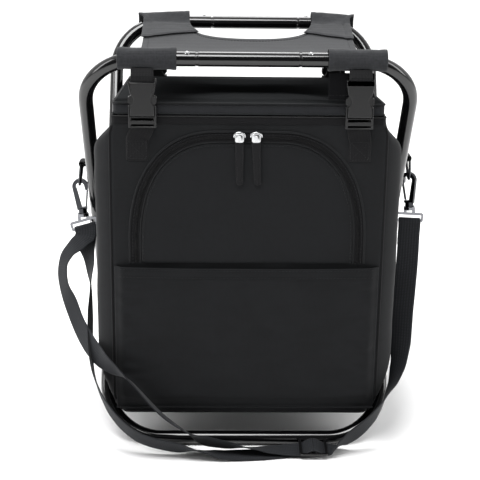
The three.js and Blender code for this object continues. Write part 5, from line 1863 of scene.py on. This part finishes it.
# The strap's middle line in millimetres, each place with the way that its width points.
STRAP_ROUTE: list[tuple[Place, Place]] = [
    ((71, -161, 1.6), (0, -1, 0)), ((49, -161, 1.6), (0, -1, 0)),
    ((16, -167, 1.6), (0, -1, 0)), ((-8, -169, 1.6), (0, -1, 0)),
    ((-26, -170.5, 2.8), (0, -1, 0.08)), ((-48, -172, 7.6), (0, -0.9, 0.4)),
    ((-75, -174, 13), (0, -0.6, 0.75)), ((-109, -173, 22), (0, -0.6, 0.8)),
    ((-128, -170, 34), (0.1, -0.65, 0.75)), ((-144, -163, 50), (0.1, -0.7, 0.7)),
    ((-154, -152, 63), (0, -0.7, 0.7)), ((-164, -134, 82), (-0.1, -0.65, 0.75)),
    ((-169, -108, 103), (-0.15, -0.65, 0.75)), ((-171, -80, 125), (-0.15, -0.7, 0.7)),
    ((-172, -56, 148), (0, -0.75, 0.65)), ((-175, -34, 177), (0.5, -0.7, 0.5)),
    ((-180, -20.4, 199), (0.95, -0.15, 0.28)), ((-178.9, -19.4, 207), (1, 0, 0.29)),
    ((-180, -19.4, 211.8), (1, 0, 0.29)), ((-180.6, -20.1, 213.8), (1, 0, 0.29)),
    ((-180.8, -22, 214.7), (1, 0, 0.29)), ((-180.6, -23.9, 213.8), (1, 0, 0.29)),
    ((-180, -24.6, 211.8), (1, 0, 0.29)), ((-179.4, -25.8, 208), (1, 0, 0.29)),
    ((-180.5, -28.2, 203), (1, 0.1, 0.3)), ((-187, -33, 197), (0.9, -0.2, 0.25)),
    ((-199, -38, 186), (0.6, -0.75, 0.1)), ((-204.5, -44, 172), (0.5, -0.75, 0.36)),
    ((-202, -54, 151), (0.5, -0.75, 0.5)), ((-193, -68, 135), (0.5, -0.4, 0.7)),
    ((-184, -84, 119), (0.45, -0.35, 0.8)), ((-173, -106, 109), (0.4, -0.2, 0.9)),
    ((-161, -129, 103), (0.3, -0.2, 0.93)), ((-144, -154, 98), (0.2, -0.6, 0.75)),
    ((-123, -162.5, 85), (0, -0.9, 0.4)), ((-102, -165, 61), (0, -0.95, 0.3)),
    ((-86, -165, 44), (0, -0.95, 0.3)), ((-64, -167, 28.5), (0, -0.9, 0.4)),
    ((-43, -167, 17.5), (0, -0.6, 0.75)), ((-20, -165, 11.6), (0, -0.7, 0.7)),
    ((5, -164, 7.5), (0, -0.9, 0.4)), ((30, -163, 5), (0, -1, 0.1)),
    ((46, -162.5, 4.6), (0, -1, -0.05)), ((55, -162.5, 5), (0, -1, -0.14)),
    ((60.5, -162.5, 5.2), (0, -1, -0.14)), ((62.7, -162.5, 6), (0, -1, -0.14)),
    ((66, -162.5, 8), (0, -1, -0.14)), ((70.3, -162.5, 10.2), (0, -1, -0.14)),
    ((73.5, -162.5, 10.8), (0, -1, -0.14)), ((76.7, -162.5, 10.2), (0, -1, -0.14)),
    ((81, -162.5, 8), (0, -1, -0.14)), ((84.3, -162.5, 6), (0, -1, -0.14)),
    ((86.7, -162.5, 5.2), (0, -1, -0.14)), ((92, -162.5, 5.4), (0, -1, -0.05)),
    ((98, -163, 7.5), (0, -0.9, 0.3)), ((106, -164, 14), (0, -0.6, 0.75)),
    ((118, -163, 24), (0, -0.45, 0.88)), ((130, -160, 33.5), (0.1, -0.4, 0.9)),
    ((142, -153, 44), (0.1, -0.4, 0.9)), ((151, -142, 54), (0.2, -0.5, 0.8)),
    ((162, -126, 66), (0.4, -0.6, 0.6)), ((170, -108, 84), (0.6, -0.7, 0.3)),
    ((174, -90, 104), (0.8, -0.6, 0)), ((177, -72, 127), (0.9, -0.45, 0)),
    ((181, -54, 149), (0.95, -0.3, 0)), ((185, -37, 179), (1, -0.1, -0.05)),
    ((187, -26.5, 205), (1, 0, -0.05)), ((187.6, -24.6, 217.5), (1, 0, -0.05)),
    ((187.6, -24.6, 221.9), (1, 0, -0.05)), ((187.6, -23.9, 223.9), (1, 0, -0.05)),
    ((187.6, -22, 224.8), (1, 0, -0.05)), ((187.6, -20.1, 223.9), (1, 0, -0.05)),
    ((187.6, -19.4, 221.9), (1, 0, -0.05)), ((187.6, -20.2, 215), (1, 0, -0.05)),
    ((187, -23.6, 205), (1, 0, -0.05)), ((186.3, -28.6, 193), (1, -0.1, -0.05)),
]
STRAP_WIDTH = 25.0
SLIDER_BAR = 48  # the place in the route that lies over the slider's bar
SEAM_ROWS = (14.0, 18.0)  # rows of stitches, off the strap's ends


@dataclass
class ShoulderStrap:
    """The strap: one length of webbing, made in two pieces that meet at the slider's bar."""

    steps: int = 4

    def run(self, first: int, last: int) -> tuple[list[Vector], list[Vector]]:
        """The places and width directions of part of the route."""
        places = [Vector(place) for place, _ in STRAP_ROUTE]
        ways = [Vector(width) for _, width in STRAP_ROUTE]
        middle: list[Vector] = []
        across: list[Vector] = []
        for i in range(first, last):
            for k in range(self.steps):
                t = k / self.steps
                middle.append(spot(*crossing(places, i, t)))
                across.append(ways[i].lerp(ways[i + 1], eased(t)).normalized())
        middle.append(spot(*places[last]))
        across.append(ways[last].normalized())
        return middle, across

    def seam(self, mesh: BMesh, middle: Sequence[Vector], across: Sequence[Vector]) -> None:
        """Sews the rows that hold the strap's folded end.

        Args:
            mesh: What the stitches are added to.
            middle: The strap's middle line, from that end.
            across: The way that its width points at each place.
        """
        gone = 0.0
        for near, far, width in zip(middle, middle[1:], across):
            along = far - near
            step = along.length / MM
            for mark in SEAM_ROWS:
                if gone <= mark < gone + step:
                    place = near + along * ((mark - gone) / step)
                    out = width.cross(along).normalized()
                    out = out if out.y < 0 else -out
                    row = [place + out * (0.75 * MM) + width * (k * MM) for k in range(-11, 12, 2)]
                    sew(mesh, row, out, pitch=2.9, thick=0.6)
            gone += step

    def build(self) -> float:
        """Makes the strap.

        Returns:
            Its length in metres.
        """
        length = 0.0
        last = len(STRAP_ROUTE) - 1
        for side, first, end, bend in (
            ("left", 0, SLIDER_BAR, (spot(0, 0, 120), spot(0, 0, 196))),
            ("right", SLIDER_BAR, last, (spot(0, 0, 120), spot(0, 0, 200))),
        ):
            middle, across = self.run(first, end)
            length += sum((b - a).length for a, b in zip(middle, middle[1:]))
            mesh = new_mesh()
            strip(mesh, middle, across, STRAP_WIDTH, columns=6)
            Piece(
                f"shoulder_strap_{side}", mesh, STRAP, slot="webbing", replaces=("shoulder_strap",),
                thick=1.4, offset=0.0, levels=1, crease=50, turn_out=False,
                blend=("bag_body", f"{side}_ring_body", *bend),
            ).settle()
            mesh = new_mesh()
            if side == "left":
                self.seam(mesh, middle, across)
            else:
                self.seam(mesh, middle[::-1], across[::-1])
            Piece(
                f"shoulder_strap_{side}_stitches", mesh, THREAD, slot="webbing",
                blend=("bag_body", f"{side}_ring_body", *bend),
            ).settle()
        eased_copy("strap_slider", ACETAL, 0.7, "buckle_plastic")
        return length


# Floor, light and camera.

SENSOR = 36.0
PICTURE = 480.0


@dataclass
class Studio:
    """A pale seamless floor under a large soft light, seen as the photo sees the stool."""

    eye: Place = (-32.7, -1354.8, 622.1)  # in the model's own millimetres
    yaw: float = -0.0236
    pitch: float = 0.3045
    roll: float = 0.0126
    focal: float = 1243.3  # in pixels of a picture PICTURE pixels wide
    glow: float = 1.0
    shade: float = 0.12  # of the surroundings behind the camera
    wide: float = 9.0  # of the floor, in metres
    deep: float = 6.0
    near: float = 2.6  # how far it reaches in front of the stool
    turn: float = 2.4  # where it starts to climb, behind the stool
    climb: float = 1.6

    def floor(self) -> None:
        """Makes the floor, which turns up into a far wall with no edge."""
        mesh = new_mesh()

        def place(u: float, v: float) -> Vector:
            """A point of the floor, in metres; past the turn it climbs."""
            x, run = (u - 0.5) * self.wide, v * self.deep - self.near
            rise = 0.0
            if run > self.turn:
                rise = self.climb * (1 - math.cos(min((run - self.turn) / self.climb, 1.0) * math.pi / 2))
            return Vector((x, run, rise - 0.2 * MM))

        cloth_grid(mesh, 24, 60, place, (self.wide / MM, self.deep / MM))
        data = bpy.data.meshes.new("studio_floor")
        mesh.to_mesh(data)
        mesh.free()
        data.polygons.foreach_set("use_smooth", [True] * len(data.polygons))
        data.materials.append(dressed(PAPER))
        thing = bpy.data.objects.new("studio_floor", data)
        bpy.context.scene.collection.objects.link(thing)

    def lamp(self, name: str, place: Place, aim: Place, size: tuple[float, float], watts: float) -> None:
        """Adds a soft box.

        Args:
            name: What to call it.
            place: Where it stands, in metres.
            aim: What it points at.
            size: Width and height.
            watts: Its power.
        """
        light = bpy.data.lights.new(name, "AREA")
        light.shape = "RECTANGLE"
        light.size, light.size_y = size
        light.energy = watts
        thing = bpy.data.objects.new(name, light)
        thing.location = place
        thing.rotation_euler = (Vector(aim) - Vector(place)).to_track_quat("-Z", "Y").to_euler()
        bpy.context.scene.collection.objects.link(thing)

    def world(self) -> None:
        """Makes the surroundings: white behind the stool, dim behind the camera, for streaks on the tubes."""
        world = bpy.data.worlds.new("studio")
        world.use_nodes = True
        tree = world.node_tree
        ground = next(node for node in tree.nodes if node.type == "BACKGROUND")
        looking = add_node(tree, "ShaderNodeTexCoord").outputs["Generated"]
        back = add_node(tree, "ShaderNodeSeparateXYZ", {0: looking}).outputs["Y"]
        shade = add_node(
            tree,
            "ShaderNodeMapRange",
            {"Value": back},
            {"From Min": -0.6, "From Max": 0.35, "To Min": self.shade, "To Max": self.glow},
        ).outputs["Result"]
        ground.inputs["Color"].default_value = linear("#ffffff")
        tree.links.new(shade, ground.inputs["Strength"])
        bpy.context.scene.world = world

    def camera(self) -> None:
        """Sets the camera as the photo was taken."""
        cy, sy, cp, sp = math.cos(self.yaw), math.sin(self.yaw), math.cos(self.pitch), math.sin(self.pitch)
        right = Vector((cy, sy, 0))
        forward = Vector((-sy * cp, cy * cp, -sp))
        up = right.cross(forward)
        cr, sr = math.cos(self.roll), math.sin(self.roll)
        right, up = right * cr + up * sr, up * cr - right * sr
        lens = bpy.data.cameras.new("photo_camera")
        lens.sensor_width = SENSOR
        lens.sensor_fit = "HORIZONTAL"
        lens.lens = self.focal / PICTURE * SENSOR
        lens.clip_start, lens.clip_end = 0.05, 40.0
        thing = bpy.data.objects.new("photo_camera", lens)
        turn = Matrix((right, up, -forward)).transposed()
        thing.matrix_world = Matrix.Translation(Vector(self.eye) * MM) @ turn.to_4x4()
        bpy.context.scene.collection.objects.link(thing)
        bpy.context.scene.camera = thing

    def build(self) -> None:
        """Sets up floor, light and camera."""
        bpy.context.scene.view_settings.view_transform = "Standard"
        self.floor()
        self.world()
        self.lamp("key", (-0.5, -1.0, 2.6), (0, -0.1, 0.1), (1.8, 1.0), 72.0)
        self.lamp("left", (-2.0, -0.5, 1.2), (0, 0, 0.25), (0.5, 1.6), 14.0)
        self.lamp("right", (2.0, -0.4, 1.2), (0, 0, 0.25), (0.5, 1.6), 14.0)
        self.lamp("back", (0.0, 2.0, 2.4), (0, 0.2, 0.2), (2.6, 1.2), 60.0)
        self.camera()


def main() -> None:
    """Builds the whole scene."""
    logging.basicConfig(level=logging.INFO, format="%(name)s: %(message)s")
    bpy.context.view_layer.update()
    Studio().build()
    outer, inner = "outer_hoop_body", "inner_hoop_body"
    Hoop("outer_hoop", "front_joining_tube", outer, half_width=167.5, shift=-1.0, front_top=True).build()
    Hoop("inner_hoop", "rear_joining_tube", inner, half_width=151.0, shift=14.0, front_top=False).build()
    for node in frame["nodes"]:
        if "rivet" in node:
            repaint(node, BRIGHT)
    SeatSide("front", -1, outer, left=(-132.0, -73.0), right=(78.0, 137.0)).build()
    SeatSide("rear", 1, inner, left=(-127.0, -65.0), right=(81.0, 134.0)).build()
    Flap().build()
    Bag().build()
    Lid().build()
    ArchPocket().build()
    SlipPocket().build()
    for place in ("front", "rear"):
        for side, x, patch_x in (("left", -107.0, -113.0), ("right", 110.5, 113.0)):
            Hanger(f"{place}_{side}", x, patch_x, front=place == "front").build()
    StrapEnd("left", -1, rise=72.0, lean=6.8).build()
    StrapEnd("right", 1, rise=81.0, lean=4.5).build()
    length = ShoulderStrap().build()
    log.info("shoulder strap: %.3f m", length)


if __name__ == "__main__":
    main()
